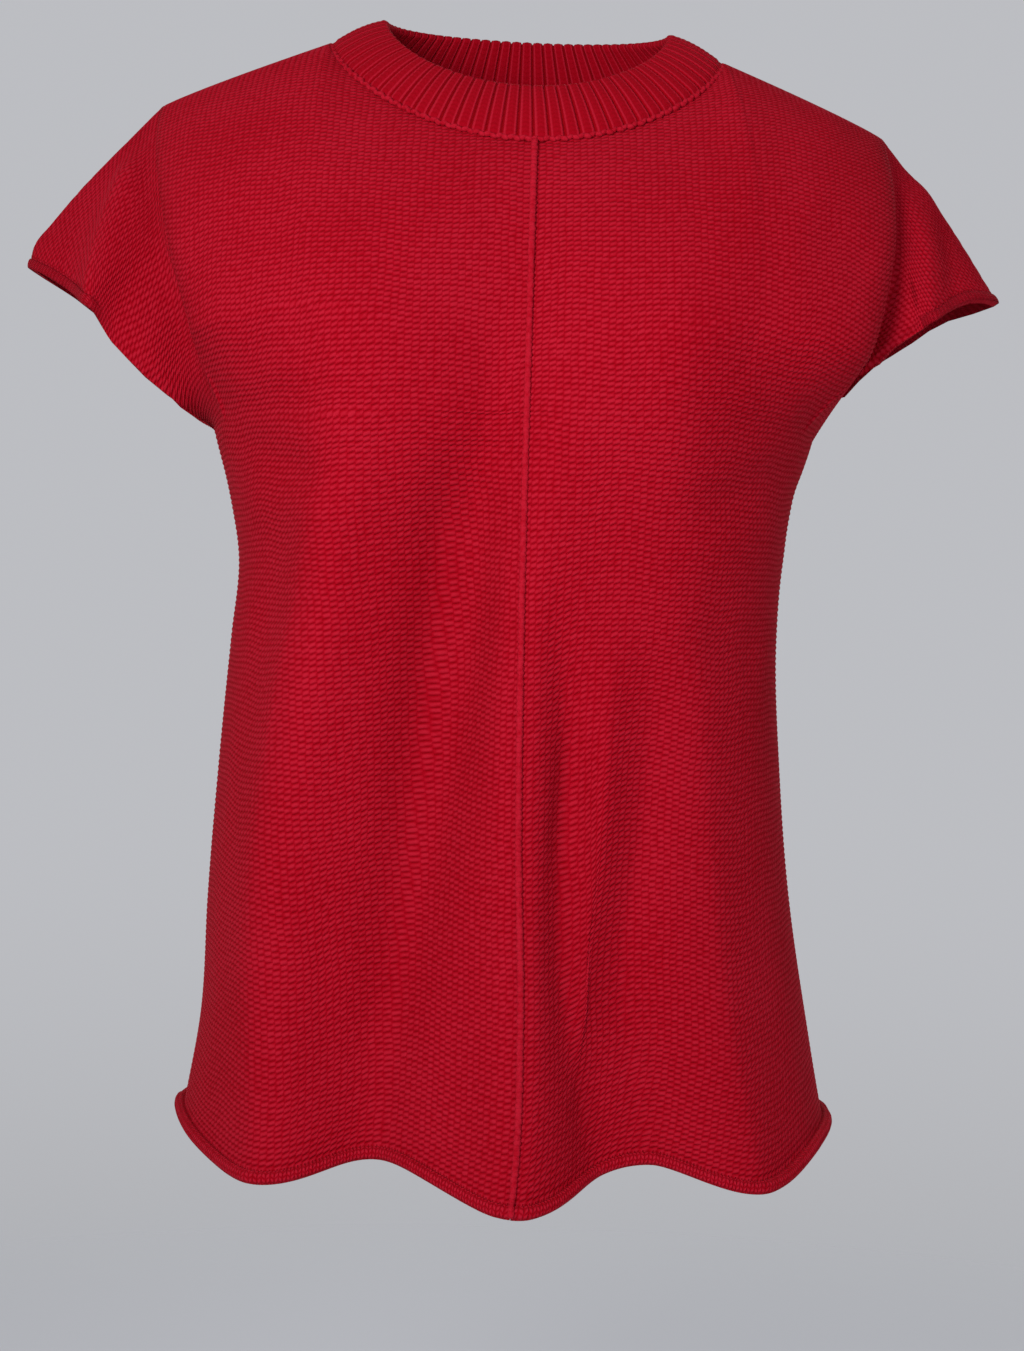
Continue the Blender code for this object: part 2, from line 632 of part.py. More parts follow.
def neck_ridge():
    """The linked seam that stands up in the corner round the foot of the neckband."""
    count = 64
    angles = np.arange(count) * 2.0 * pi / count
    rise, band_out = band_frame(angles)
    along = np.cross(rise, band_out)
    out = band_out + panel_normals_at_neck(angles)
    out /= np.linalg.norm(out, axis=-1, keepdims=True)
    sideways = np.cross(out, along)
    hollow = np.clip(np.sum(rise * out, axis=-1, keepdims=True), 0.0, 0.9)
    lift = RIDGE_HALF_WIDTH * hollow / np.sqrt(1.0 - hollow**2)
    off_shoulder = (np.abs(angles % (2.0 * pi) - pi) - 0.54 * pi) / 0.16
    lift = lift + SHOULDER_LIFT * np.exp(-(off_shoulder**2))[:, None]
    path = along_seam(neck_seam, angles) + out * lift
    build = tube_mesh(ridge_rings(path, out, sideways), closed=True)
    return add_object("neck_seam_ridge", build, knit_material("neck_seam_ridge", DEEP_RED))


def front_ridge():
    """The linked seam down the centre front, over the rolled hem."""
    outer = half_grid(LEFT, FRONT)[0]
    path = outer[1:, 0] - (SEAM_GAP / 2, 0.0, 0.0)
    top = path[-1]
    from_top = np.linalg.norm(path - top, axis=-1)
    path = path[from_top > 3.0 * RIDGE_HALF_WIDTH]
    end = mix(top, path[-1], 1.6 * RIDGE_HALF_WIDTH / np.linalg.norm(path[-1] - top))
    path = np.concatenate([path, end[None]])
    along = np.gradient(path, axis=0)
    along /= np.linalg.norm(along, axis=-1, keepdims=True)
    sideways = np.tile((1.0, 0.0, 0.0), (len(path), 1))
    out = np.cross(sideways, along)
    out /= np.linalg.norm(out, axis=-1, keepdims=True)
    build = tube_mesh(ridge_rings(path, out, sideways), closed=False)
    return add_object("front_seam_ridge", build, knit_material("front_seam_ridge", DEEP_RED))


def main():
    clear_scene()
    front_panel(RIGHT)
    front_panel(LEFT)
    back_panel()
    neckband()
    neck_ridge()
    front_ridge()


main()
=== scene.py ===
"""The looks of a cap-sleeve knit top in its worn form.

Each panel is a thin shell on its solid's form. Its outer face follows the purl rows one by
one, its inner face is plain, and its raw edges curl outward and show the knit side.
"""

from collections import namedtuple
from math import pi

import bmesh
import bpy
import numpy as np
from mathutils import Matrix, Vector


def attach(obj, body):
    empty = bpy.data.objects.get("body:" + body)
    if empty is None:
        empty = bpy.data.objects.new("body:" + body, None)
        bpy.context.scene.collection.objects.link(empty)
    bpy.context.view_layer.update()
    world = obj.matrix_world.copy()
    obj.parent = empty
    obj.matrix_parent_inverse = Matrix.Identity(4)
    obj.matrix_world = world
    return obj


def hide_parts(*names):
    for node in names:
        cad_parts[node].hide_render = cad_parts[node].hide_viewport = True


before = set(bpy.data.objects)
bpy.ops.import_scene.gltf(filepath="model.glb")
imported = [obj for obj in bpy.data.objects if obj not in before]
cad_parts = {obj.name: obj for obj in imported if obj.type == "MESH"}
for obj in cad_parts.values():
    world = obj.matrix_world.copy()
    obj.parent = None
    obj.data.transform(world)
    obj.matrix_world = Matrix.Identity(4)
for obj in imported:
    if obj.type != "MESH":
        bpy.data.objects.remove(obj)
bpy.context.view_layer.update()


def table(columns):
    """A maker of tables whose rows have these named columns."""
    row = namedtuple("Row", columns)
    return lambda *rows: [row(*values) for values in rows]


section_rows = table("z right left front back")
hem_rows = table("across z")
fold_rows = table("z x spread rise")
seam_rows = table("z x")
yoke_rows = table("up x z")
overarm_rows = table("along x z")
rounding_rows = table("chest power")
drift_rows = table("across up rise")
crease_rows = table("x0 z0 x1 z1 width rise")
bulge_rows = table("up rise")
lamp_rows = table("name place aim size power colour spread")

# Driving dimensions
WALL = 0.0026  # one layer of the chunky knit
BAND_WALL = 0.0044  # the neckband is folded double
SEAM_GAP = 0.0003  # between pieces that meet at a seam
ARMPIT_Z = -0.200
ROLL_RADIUS = 0.0032  # the raw edges of hem and sleeves roll outward
SQUARENESS = 2.25  # of the body's rings: 2 is an ellipse
CHEST_SHARE = 0.62  # of a row's columns lie between the centre and the chest edge
CHEST_REACH = 0.93  # of the half width, where the chest edge starts on the ring at the armpit
FOLD_ARM_DEPTH, ARM_DEPTH = 0.046, 0.052  # of the sleeve's face, at the chest edge and at its raw edge
LEAN = -0.030  # the shoulders lie this much lower per metre to the wearer's left

NECK_HALF = 0.102  # neck seam, half its width
NECK_FRONT, NECK_BACK = 0.075, 0.070  # neck seam, forward and back of the shoulder line
NECK_DROP_FRONT, NECK_DROP_BACK = 0.0616, 0.010
NECK_SHARE = 0.56  # of the chest's columns that end on the neck seam
BAND_HALF, BAND_FRONT, BAND_BACK = 0.0735, 0.0555, 0.0590  # the neckband's top edge
BAND_TOP_FRONT, BAND_TOP_SIDE, BAND_TOP_BACK = -0.0297, 0.0140, 0.0220
RIB_COUNT = 80
RIB_RELIEF = 0.0011

RIGHT, LEFT = -1, 1
FRONT, BACK = -1, 1
SIDE_NAMES = {RIGHT: "right", LEFT: "left"}
FACE_NAMES = {FRONT: "front", BACK: "back"}

SECTIONS = section_rows(
    (-0.570, 0.1690, 0.1690, 0.1190, 0.1130), (-0.540, 0.1640, 0.1625, 0.1180, 0.1100),
    (-0.500, 0.1575, 0.1550, 0.1165, 0.1060), (-0.440, 0.1550, 0.1450, 0.1150, 0.1000),
    (-0.370, 0.1510, 0.1380, 0.1135, 0.0940), (-0.305, 0.1460, 0.1350, 0.1125, 0.0920),
    (-0.265, 0.1430, 0.1370, 0.1135, 0.0950), (-0.230, 0.1490, 0.1420, 0.1180, 0.0990),
    (-0.200, 0.1570, 0.1510, 0.1225, 0.1020), (-0.170, 0.1630, 0.1570, 0.1235, 0.1040),
)

# The hem's height across the front and the back, from side seam to side seam
HEM = {
    FRONT: hem_rows(
        (-1.00, -0.5490), (-0.95, -0.5530), (-0.68, -0.5665), (-0.39, -0.5550), (0.02, -0.5735),
        (0.42, -0.5550), (0.74, -0.5670), (0.95, -0.5530), (1.00, -0.5490),
    ),
    BACK: hem_rows(
        (-1.00, -0.5490), (-0.62, -0.5600), (-0.25, -0.5530), (0.08, -0.5610), (0.42, -0.5540),
        (0.70, -0.5600), (1.00, -0.5490),
    ),
}

# Each fold is a soft crest or, with a negative rise, a trough, from the hem up
FOLDS = {
    FRONT: {
        "right_crest": fold_rows(
            (-0.566, -0.115, 0.026, 0.016), (-0.420, -0.117, 0.023, 0.012),
            (-0.310, -0.103, 0.020, 0.008), (-0.215, -0.080, 0.020, 0.000),
        ),
        "right_trough": fold_rows(
            (-0.566, -0.064, 0.026, -0.012), (-0.420, -0.053, 0.026, -0.011),
            (-0.300, -0.041, 0.024, -0.009), (-0.215, -0.034, 0.022, 0.000),
        ),
        "centre_crest": fold_rows(
            (-0.572, 0.004, 0.030, 0.019), (-0.420, 0.005, 0.026, 0.011),
            (-0.300, 0.003, 0.022, 0.006), (-0.225, 0.002, 0.018, 0.000),
        ),
        "centre_trough": fold_rows(
            (-0.566, 0.050, 0.018, -0.006), (-0.460, 0.022, 0.010, -0.006),
            (-0.380, 0.024, 0.010, -0.006), (-0.270, 0.016, 0.010, 0.000),
        ),
        "small_crest": fold_rows(
            (-0.540, 0.030, 0.009, 0.000), (-0.460, 0.036, 0.009, 0.005),
            (-0.380, 0.042, 0.010, 0.005), (-0.290, 0.046, 0.012, 0.000),
        ),
        "left_trough": fold_rows(
            (-0.566, 0.072, 0.022, -0.010), (-0.460, 0.054, 0.014, -0.006),
            (-0.380, 0.062, 0.014, -0.003), (-0.300, 0.066, 0.014, 0.000),
        ),
        "left_crest": fold_rows(
            (-0.566, 0.120, 0.025, 0.015), (-0.460, 0.100, 0.024, 0.010),
            (-0.380, 0.092, 0.022, 0.007), (-0.240, 0.084, 0.020, 0.000),
        ),
    },
    BACK: {
        "right_crest": fold_rows(
            (-0.566, -0.105, 0.026, 0.014), (-0.400, -0.098, 0.024, 0.009),
            (-0.220, -0.078, 0.022, 0.000),
        ),
        "right_trough": fold_rows(
            (-0.566, -0.048, 0.024, -0.010), (-0.400, -0.046, 0.022, -0.008),
            (-0.240, -0.040, 0.020, 0.000),
        ),
        "centre_crest": fold_rows(
            (-0.566, 0.012, 0.026, 0.013), (-0.400, 0.006, 0.022, 0.007),
            (-0.180, 0.000, 0.020, 0.000),
        ),
        "left_trough": fold_rows(
            (-0.566, 0.066, 0.022, -0.010), (-0.420, 0.056, 0.020, -0.006),
            (-0.270, 0.050, 0.018, 0.000),
        ),
        "left_crest": fold_rows(
            (-0.566, 0.114, 0.026, 0.013), (-0.400, 0.100, 0.024, 0.008),
            (-0.220, 0.084, 0.022, 0.000),
        ),
    },
}

# The front's centre seam wanders this far from the middle, from the hem up
CENTRE_SEAM = seam_rows(
    (-0.574, 0.0035), (-0.550, 0.0055), (-0.490, 0.0065), (-0.400, 0.0038), (-0.300, 0.0030),
    (-0.180, 0.0035), (-0.060, 0.0045),
)

# Lines of the yoke: "up" runs from 0 at the armpit's row to 1 at the shoulder's
CHEST_EDGE = {  # where the chest folds over the sleeve
    RIGHT: yoke_rows(
        (0.00, -0.1570, -0.2000), (0.20, -0.1575, -0.1670), (0.40, -0.1630, -0.1340),
        (0.60, -0.1700, -0.1010), (0.80, -0.1790, -0.0660), (1.00, -0.1895, -0.0320),
    ),
    LEFT: yoke_rows(
        (0.00, 0.1510, -0.2000), (0.12, 0.1590, -0.1830), (0.25, 0.1695, -0.1635),
        (0.45, 0.1790, -0.1300), (0.65, 0.1865, -0.0980), (0.85, 0.1885, -0.0640),
        (1.00, 0.1860, -0.0410),
    ),
}
SLEEVE_EDGE = {  # the raw edge, from the armpit by the front or back corner to the tip
    RIGHT: yoke_rows(
        (0.00, -0.1570, -0.2000), (0.20, -0.1680, -0.1925), (0.40, -0.1850, -0.1785),
        (0.60, -0.2035, -0.1610), (0.80, -0.2190, -0.1410), (0.90, -0.2380, -0.1270),
        (1.00, -0.2564, -0.1168),
    ),
    LEFT: yoke_rows(  # a little higher than its solid's edge
        (0.00, 0.1510, -0.2000), (0.20, 0.1640, -0.1765), (0.40, 0.1790, -0.1600),
        (0.60, 0.1945, -0.1490), (0.80, 0.2075, -0.1410), (0.90, 0.2260, -0.1285),
        (1.00, 0.2475, -0.1245),
    ),
}
OVERARM = {  # the shoulder seam's run over the arm, from the shoulder point to the tip
    RIGHT: overarm_rows(
        (0.00, -0.1895, -0.0320), (0.22, -0.2085, -0.0520), (0.45, -0.2285, -0.0733),
        (0.68, -0.2455, -0.0940), (0.85, -0.2535, -0.1045), (1.00, -0.2564, -0.1168),
    ),
    LEFT: overarm_rows(
        (0.00, 0.1860, -0.0410), (0.22, 0.2010, -0.0600), (0.45, 0.2187, -0.0812),
        (0.68, 0.2310, -0.0990), (0.85, 0.2405, -0.1140), (1.00, 0.2475, -0.1245),
    ),
}
SHOULDER_ROUNDING = rounding_rows(  # how fully the cloth rounds over to the top row: 1 is nearly straight
    (0.00, 0.95), (0.35, 0.88), (0.56, 0.66), (1.00, 0.36),
)
FOLD_TUCK = {FRONT: 0.009, BACK: 0.004}  # how far the sleeve's cloth goes in behind the chest edge
TUCK_PLACE, TUCK_WIDTH = 0.16, 0.10  # where it does, as shares of the sleeve's width
EDGE_TURN = 0.75  # share of the yoke's height in which the chest edge turns over to the top row
SLEEVE_TURN = 0.45  # and in which the sleeve turns over its arm
FOLD_DEPTH = {FRONT: 0.066, BACK: 0.058}  # the chest edge, forward or back of the shoulder line
YOKE_TURN = 0.25  # share of the yoke's height in which a body ring turns into chest and sleeve

# Knit
WALE, COURSE = 0.0034, 0.0028  # one stitch's width and height
DASH_CLIMB = 0.45  # how far each stitch's yarn climbs to the right, as a share of a course
ROW_CREST, ROW_VALLEY = 0.00020, -0.00024
BODY_LENGTH = 130 * COURSE  # of knit, from the hem to the armpit's row
SLEEVE_SLOPE = 0.70  # of the rows on the sleeve, in radians
SEAM_GROOVE, SEAM_GROOVE_WIDTH = 0.0004, 0.0028  # beside the front's linked seam
NECK_GROOVE, NECK_GROOVE_WIDTH = 0.0005, 0.0022  # in the body under the neck's linked seam
BASE_GROOVE, BASE_GROOVE_WIDTH = 0.0005, 0.0017  # in the band over it

# Raw edges
EDGE_LIFT = 0.5  # a curled edge's centre over the cloth, as a share of its radius
CURL_START, CURL_END = -pi / 6, pi + pi / 7
CURL_STEPS = 12
TIP_CURL = 0.28  # the sleeve edge's curl, as a share of the hem's
TIP_LEVEL, TIP_FADE = 1.68, 0.12  # where it starts, and over how much of the height
EDGE_BEND, EDGE_BEND_WIDTH = 0.0030, 0.012  # how far the sleeve's edge turns in round the arm
TIP_SLANT = {RIGHT: 0.45, LEFT: 0.20}  # how far its front falls back at the tip, of its depth
TIP_START, TIP_SOFTNESS, TIP_LEAN = 0.88, 0.12, 0.12  # the yoke's height where that begins
HEM_WAVES = ((37.0, 0.10), (91.0, 0.07))  # unevenness of the hem's roll: per metre, and share
SLEEVE_WAVES = ((47.0, 0.10), (103.0, 0.07))  # and of the sleeve edge's

# Neckband
BAND_PLY = 0.0019  # each of the folded band's two layers
BAND_HEIGHT = 0.040  # of its face, at most
BAND_ROW = 0.00093  # between the mesh's rows up the band
BAND_BULGE = bulge_rows(  # in thicknesses of the band
    (0.00, 0.00), (0.20, 0.16), (0.55, 0.34), (0.85, 0.22), (1.00, 0.05),
)
RIB_PROFILE = ((0.0, 0.25, 0.5, 0.75, 1.0), (-0.60, 0.28, 0.30, 0.42, 0.50))  # from a rib's dark line out
RIB_STITCH = 0.00012  # relief of a rib's stitches

# Linked seams: the size of one loop, their spacing, turn, sideways shift and lift off the cloth
Chain = namedtuple("Chain", "link spacing turn shift lift")
NECK_CHAIN = Chain((0.0045, 0.0025, 0.0029), 0.0029, 0.42, 0.0003, 0.0009)
NECK_CHAIN_SINK = 0.0016  # over the shoulders, where the rope lies flat
NECK_CHAIN_DROP = 0.0002  # down the body from the seam's line
FRONT_CHAIN = Chain((0.0046, 0.0036, 0.0030), 0.0024, 0.10, 0.0001, 0.0006)
FRONT_CHAIN_ENDS = (0.009, 1.985)  # its levels, from the hem to the neck

ROW_DRIFTS = drift_rows(
    (0.031, 0.140, 0.00030), (0.047, -0.220, 0.00042), (0.083, 0.350, 0.00050),
    (-0.062, 0.180, 0.00036),
)

# Mesh density
NECK_COLUMNS, SHOULDER_COLUMNS, SLEEVE_COLUMNS = 76, 60, 54
INNER_EVERY = 8  # rows of the outer face to one of the inner
COLUMNS_PER_RIB = 8
BAND_INNER_EVERY = 4
LEAST_SPAN = 0.060  # of the sleeve's columns, for their spacing near the armpit
MAP_MARGIN = 0.01  # round each part of the bake map

# Smaller folds on top of the solid's
SMALL_FOLDS = {
    FRONT: (
        fold_rows(
            (-0.570, -0.072, 0.021, -0.0060), (-0.520, -0.068, 0.021, -0.0060),
            (-0.470, -0.056, 0.022, -0.0085), (-0.400, -0.044, 0.022, -0.0130),
            (-0.336, -0.035, 0.022, -0.0160), (-0.260, -0.025, 0.022, -0.0165),
            (-0.190, -0.012, 0.027, -0.0120), (-0.140, -0.004, 0.030, -0.0075),
            (-0.100, 0.000, 0.030, -0.0030), (-0.070, 0.000, 0.030, 0.0),
        ),
        fold_rows(
            (-0.540, -0.112, 0.022, 0.0030), (-0.420, -0.110, 0.023, 0.0070),
            (-0.330, -0.095, 0.021, 0.0110), (-0.250, -0.086, 0.022, 0.0120),
            (-0.165, -0.082, 0.032, 0.0090), (-0.105, -0.082, 0.036, 0.0030),
            (-0.060, -0.082, 0.036, 0.0),
        ),
        fold_rows(
            (-0.330, 0.070, 0.026, 0.0), (-0.250, 0.074, 0.030, 0.0040),
            (-0.165, 0.076, 0.032, 0.0070), (-0.110, 0.076, 0.034, 0.0030),
            (-0.060, 0.076, 0.034, 0.0),
        ),
        fold_rows(
            (-0.566, 0.052, 0.024, -0.0090), (-0.480, 0.042, 0.019, -0.0075),
            (-0.380, 0.030, 0.012, -0.0030), (-0.300, 0.030, 0.012, 0.0),
        ),
        fold_rows(
            (-0.560, -0.002, 0.012, 0.0020), (-0.400, -0.006, 0.011, 0.0015),
            (-0.290, -0.008, 0.010, 0.0010), (-0.240, -0.008, 0.010, 0.0),
        ),
    ),
    BACK: (),
}

# Short creases: from one point to another on the front or back as it is seen
CREASES = {
    FRONT: crease_rows(
        (-0.1975, -0.050, -0.2180, -0.165, 0.008, 0.0050),
        (0.203, -0.052, 0.209, -0.150, 0.009, 0.0030),
        (-0.150, -0.190, -0.085, -0.170, 0.010, 0.0022),
        (-0.150, -0.205, -0.075, -0.235, 0.009, -0.0020),
        (-0.148, -0.235, -0.060, -0.255, 0.012, 0.0018),
        (0.146, -0.195, 0.080, -0.180, 0.010, 0.0022),
        (0.146, -0.215, 0.075, -0.245, 0.010, -0.0020),
        (0.140, -0.250, 0.070, -0.262, 0.012, 0.0015),
        (-0.135, -0.300, -0.070, -0.288, 0.014, -0.0018),
        (0.128, -0.310, 0.075, -0.300, 0.014, -0.0018),
        (-0.090, -0.440, -0.086, -0.545, 0.010, -0.0016),
        (0.030, -0.340, 0.022, -0.430, 0.006, -0.0018),
        (-0.020, -0.225, -0.050, -0.275, 0.016, -0.0020),
        (-0.168, -0.120, -0.120, -0.100, 0.016, -0.0015),
        (0.176, -0.120, 0.130, -0.100, 0.016, -0.0015),
    ),
    BACK: crease_rows(
        (-0.150, -0.195, -0.080, -0.175, 0.012, 0.0020),
        (-0.148, -0.220, -0.070, -0.240, 0.012, -0.0020),
        (0.146, -0.195, 0.085, -0.185, 0.012, 0.0020),
        (0.146, -0.225, 0.070, -0.240, 0.012, -0.0020),
        (-0.100, -0.300, 0.010, -0.292, 0.014, 0.0016),
        (-0.060, -0.325, 0.095, -0.315, 0.014, -0.0018),
        (-0.010, -0.345, 0.110, -0.350, 0.013, 0.0014),
        (-0.100, -0.120, -0.040, -0.105, 0.018, -0.0014),
        (0.110, -0.115, 0.050, -0.100, 0.018, -0.0014),
    ),
}

# Yarn: deep, middle and bright red. The knits' colour is painted deep in their gaps and grooves as shade
# and bright on their crests as highlight, with the yarn's own random mottle on top
DEEP = (0.290, 0.0002, 0.0040, 1.0)
MIDDLE = (0.350, 0.0008, 0.0090, 1.0)
BRIGHT = (0.450, 0.0085, 0.0250, 1.0)
NAP = (1.0, 0.10, 0.14, 1.0)

# Surroundings
PALE = (0.505, 0.512, 0.540, 1.0)
SHADE = (0.340, 0.345, 0.360, 1.0)
SKY_SHADES = (("Z", -0.05, -0.50), ("Z", 0.35, 0.90), ("Y", 0.30, -0.60))  # from pale to shade
FLOOR_COLOUR = (0.80, 0.82, 0.86, 1.0)
FLOOR_Z, FLOOR_RADIUS = -0.86, 14.0
FLOOR_FADE = (0.9, 1.6)  # distances from the origin over which the floor fades out
LAMPS = lamp_rows(
    ("key", (-0.40, -1.08, -0.08), (0.15, -0.1, -0.20), 0.45, 4.1, (1.0, 0.98, 0.97), 115.0),
    ("fill", (0.90, -1.10, -0.22), (0.05, 0.0, -0.24), 1.0, 2.4, (1.0, 0.99, 0.98), 180.0),
    ("back", (0.6, 2.2, 1.0), (0.0, 0.0, -0.2), 1.4, 11.0, (1.0, 1.0, 1.0), 180.0),
)
PHOTO_HEIGHT, PHOTO_DISTANCE = 1351.0, 2308.0  # in pixels of the photograph
CAMERA_PLACE = (-0.0009, -1.2, -0.323)
CAMERA_ROLL = 1.236  # degrees


def smooth(t):
    t = np.clip(t, 0.0, 1.0)
    return t * t * (3.0 - 2.0 * t)


def mix(a, b, t):
    return a + (b - a) * t


def length_of(vectors):
    return np.linalg.norm(vectors, axis=-1)


def unit(vectors):
    return vectors / length_of(vectors)[..., None]


def run_along(points, axis=0):
    """The length run along rows of points, from 0 at the first."""
    steps = length_of(np.diff(points, axis=axis))
    start = np.zeros_like(np.take(steps, [0], axis=axis))
    return np.concatenate([start, steps.cumsum(axis=axis)], axis=axis)


def rounded(t, power):
    """Rises from 0, steeply at first, to 1 at t = 1: a quarter of a superellipse."""
    return (1.0 - (1.0 - np.clip(t, 0.0, 1.0)) ** power) ** (1.0 / power)


def read(rows, column, at):
    """Smooth curve through one column of a table whose first column rises."""
    keys = np.array([row[0] for row in rows])
    values = np.array([getattr(row, column) for row in rows])
    slopes = np.gradient(values, keys)
    at = np.clip(at, keys[0], keys[-1])
    i = np.clip(np.searchsorted(keys, at, side="right") - 1, 0, len(keys) - 2)
    span = keys[i + 1] - keys[i]
    t = (at - keys[i]) / span
    start = (2.0 * t**3 - 3.0 * t**2 + 1.0) * values[i] + (t**3 - 2.0 * t**2 + t) * span * slopes[i]
    end = (3.0 * t**2 - 2.0 * t**3) * values[i + 1] + (t**3 - t**2) * span * slopes[i + 1]
    return start + end


def ring_share(across):
    """A column's place on a body ring, 0 at the centre and 1 at the side seam."""
    chest = np.arcsin(CHEST_REACH)
    to_edge = across / CHEST_SHARE * chest
    past_edge = mix(chest, pi / 2, (across - CHEST_SHARE) / (1.0 - CHEST_SHARE))
    return np.sin(np.where(across < CHEST_SHARE, to_edge, past_edge))


def ring_depth(share):
    """A ring's depth there, 1 at the centre and 0 at the side seam."""
    return np.clip(1.0 - share**SQUARENESS, 0.0, 1.0) ** (1.0 / SQUARENESS)


def fold_rise(tables, x, z, crispness):
    """What these crests and troughs add to the surface."""
    rise = np.zeros_like(x)
    for rows in tables:
        off = np.abs(x - read(rows, "x", z)) / read(rows, "spread", z)
        rise = rise + read(rows, "rise", z) * np.exp(-(off**crispness))
    return rise


def seam_shift(face, share, z):
    """How far the centre seam's wandering carries the cloth beside it."""
    if face == BACK:
        return np.zeros_like(z)
    return read(CENTRE_SEAM, "x", z) * (1.0 - share) ** 2


def body_points(side, face, across, up):
    """Below the armpit: rings from the hem, where up is 0, to the armpit, where it is 1."""
    share = ring_share(across)
    z = mix(read(HEM[face], "z", side * share), ARMPIT_Z, up)
    half = read(SECTIONS, SIDE_NAMES[side], z)
    depth = read(SECTIONS, FACE_NAMES[face], z)
    x = side * share * half
    rise = fold_rise(FOLDS[face].values(), x, z, 1.6) * smooth((1.0 - share) / 0.10)
    y = face * (depth * ring_depth(share) + rise * (1.0 - 0.5 * share**2))
    x = x + seam_shift(face, share, z) + side * rise * 0.3 * share
    return np.stack([x, y, z], axis=-1)


def neck_ring(angle, half, front, back, front_z, back_z):
    """A ring round the neck: angle 0 is the centre front, a quarter turn the left side."""
    c = np.cos(angle)
    x = half * np.sin(angle)
    y = np.where(c > 0.0, -front, -back) * c
    z = np.where(c > 0.0, front_z, back_z) + LEAN * x
    return np.stack([x, y, z], axis=-1)


def neck_seam(angle):
    """The seam between body and band."""
    bow = np.abs(np.cos(angle)) ** 1.35
    front, back = -NECK_DROP_FRONT * bow, -NECK_DROP_BACK * bow
    return neck_ring(angle, NECK_HALF, NECK_FRONT, NECK_BACK, front, back)


def band_top(angle):
    """The neckband's folded top edge."""
    bow = np.abs(np.cos(angle))
    front = mix(BAND_TOP_SIDE, BAND_TOP_FRONT, bow**1.2)
    back = mix(BAND_TOP_SIDE, BAND_TOP_BACK, bow)
    return neck_ring(angle, BAND_HALF, BAND_FRONT, BAND_BACK, front, back)


def band_frame(angle):
    """Directions at the neck seam: up the band, and out of its face."""
    step = 0.01
    along = neck_seam(angle + step) - neck_seam(angle - step)
    rise = unit(band_top(angle) - neck_seam(angle))
    return rise, unit(np.cross(along, rise))


def neck_angle(side, face, chest):
    """The neck seam's angle over a chest column, a share of the way to the shoulder point."""
    turn = np.clip(chest / NECK_SHARE, 0.0, 1.0)
    centre = np.arcsin(CENTRE_SEAM[-1].x / NECK_HALF) if face == FRONT else side * pi
    return mix(centre, side * pi / 2, turn)


def yoke_top(side, face, chest):
    """The top row: the neck seam, then the shoulder seam to the shoulder point."""
    neck = neck_seam(neck_angle(side, face, chest))
    along = np.clip((chest - NECK_SHARE) / (1.0 - NECK_SHARE), 0.0, 1.0)[..., None]
    shoulder = np.array([CHEST_EDGE[side][-1].x, 0.0, CHEST_EDGE[side][-1].z])
    return mix(neck, shoulder, along)


def chest_points(side, face, across, up):
    """Between the centre and the chest edge, from the armpit's row to the top row."""
    chest = np.clip(across / CHEST_SHARE, 0.0, 1.0)
    turned = smooth(up / YOKE_TURN)
    share = ring_share(np.minimum(across, CHEST_SHARE)) * mix(1.0, 1.0 / CHEST_REACH, turned)
    depth = read(SECTIONS, FACE_NAMES[face], ARMPIT_Z)
    edge_ring = ring_depth(mix(CHEST_REACH, 1.0, turned))
    edge_y = FOLD_DEPTH[face] * rounded((1.0 - up) / EDGE_TURN, 2.0)
    edge_y = mix(depth * ring_depth(CHEST_REACH), edge_y, turned)
    inward = (ring_depth(np.clip(share, 0.0, 1.0)) - edge_ring) / (1.0 - edge_ring)
    row_y = mix(edge_y, depth, inward)
    top = yoke_top(side, face, chest)
    shoulder_z = CHEST_EDGE[side][-1].z
    edge_drop = read(CHEST_EDGE[side], "z", up) - mix(ARMPIT_Z, shoulder_z, up)
    z = mix(ARMPIT_Z, top[..., 2], up) + edge_drop * smooth(chest) ** 2
    row_x = read(CHEST_EDGE[side], "x", up) * share + seam_shift(face, chest, z)
    x = mix(row_x, top[..., 0], up**1.5)
    over = (1.0 - up**2.2) ** read(SHOULDER_ROUNDING, "power", chest)
    y = mix(np.abs(top[..., 1]), row_y, over)
    return np.stack([x, face * y, z], axis=-1)


def sleeve_points(side, face, across, up):
    """From the chest edge out to the sleeve's raw edge; at the armpit's row, to the side seam."""
    out = np.clip((across - CHEST_SHARE) / (1.0 - CHEST_SHARE), 0.0, 1.0)
    start = chest_points(side, face, np.full_like(across, CHEST_SHARE), up)
    first, last = OVERARM[side][0], OVERARM[side][-1]
    bulge = up**4
    tuck = np.exp(-(((out - TUCK_PLACE) / TUCK_WIDTH) ** 2))
    tuck = FOLD_TUCK[face] * tuck * (1.0 - up) * smooth(up / SLEEVE_TURN)
    x = mix(start[..., 0], read(SLEEVE_EDGE[side], "x", up), out) - side * tuck
    x = x + (read(OVERARM[side], "x", out) - mix(first.x, last.x, out)) * bulge
    z = mix(start[..., 2], read(SLEEVE_EDGE[side], "z", up), out)
    z = z + (read(OVERARM[side], "z", out) - mix(first.z, last.z, out)) * bulge
    over = rounded((1.0 - up) / mix(SLEEVE_TURN, 0.20, out), 1.5)
    under = rounded(up / SLEEVE_TURN, 1.5)
    behind = mix(out, smooth(out / 0.30), smooth(up / 0.55))
    y = mix(np.abs(start[..., 1]), mix(FOLD_ARM_DEPTH, ARM_DEPTH, out) * over * under, behind)
    sleeve = np.stack([x, face * y, z], axis=-1)
    ring = body_points(side, face, across, np.ones_like(up))
    return mix(ring, sleeve, smooth(up / YOKE_TURN)[..., None])


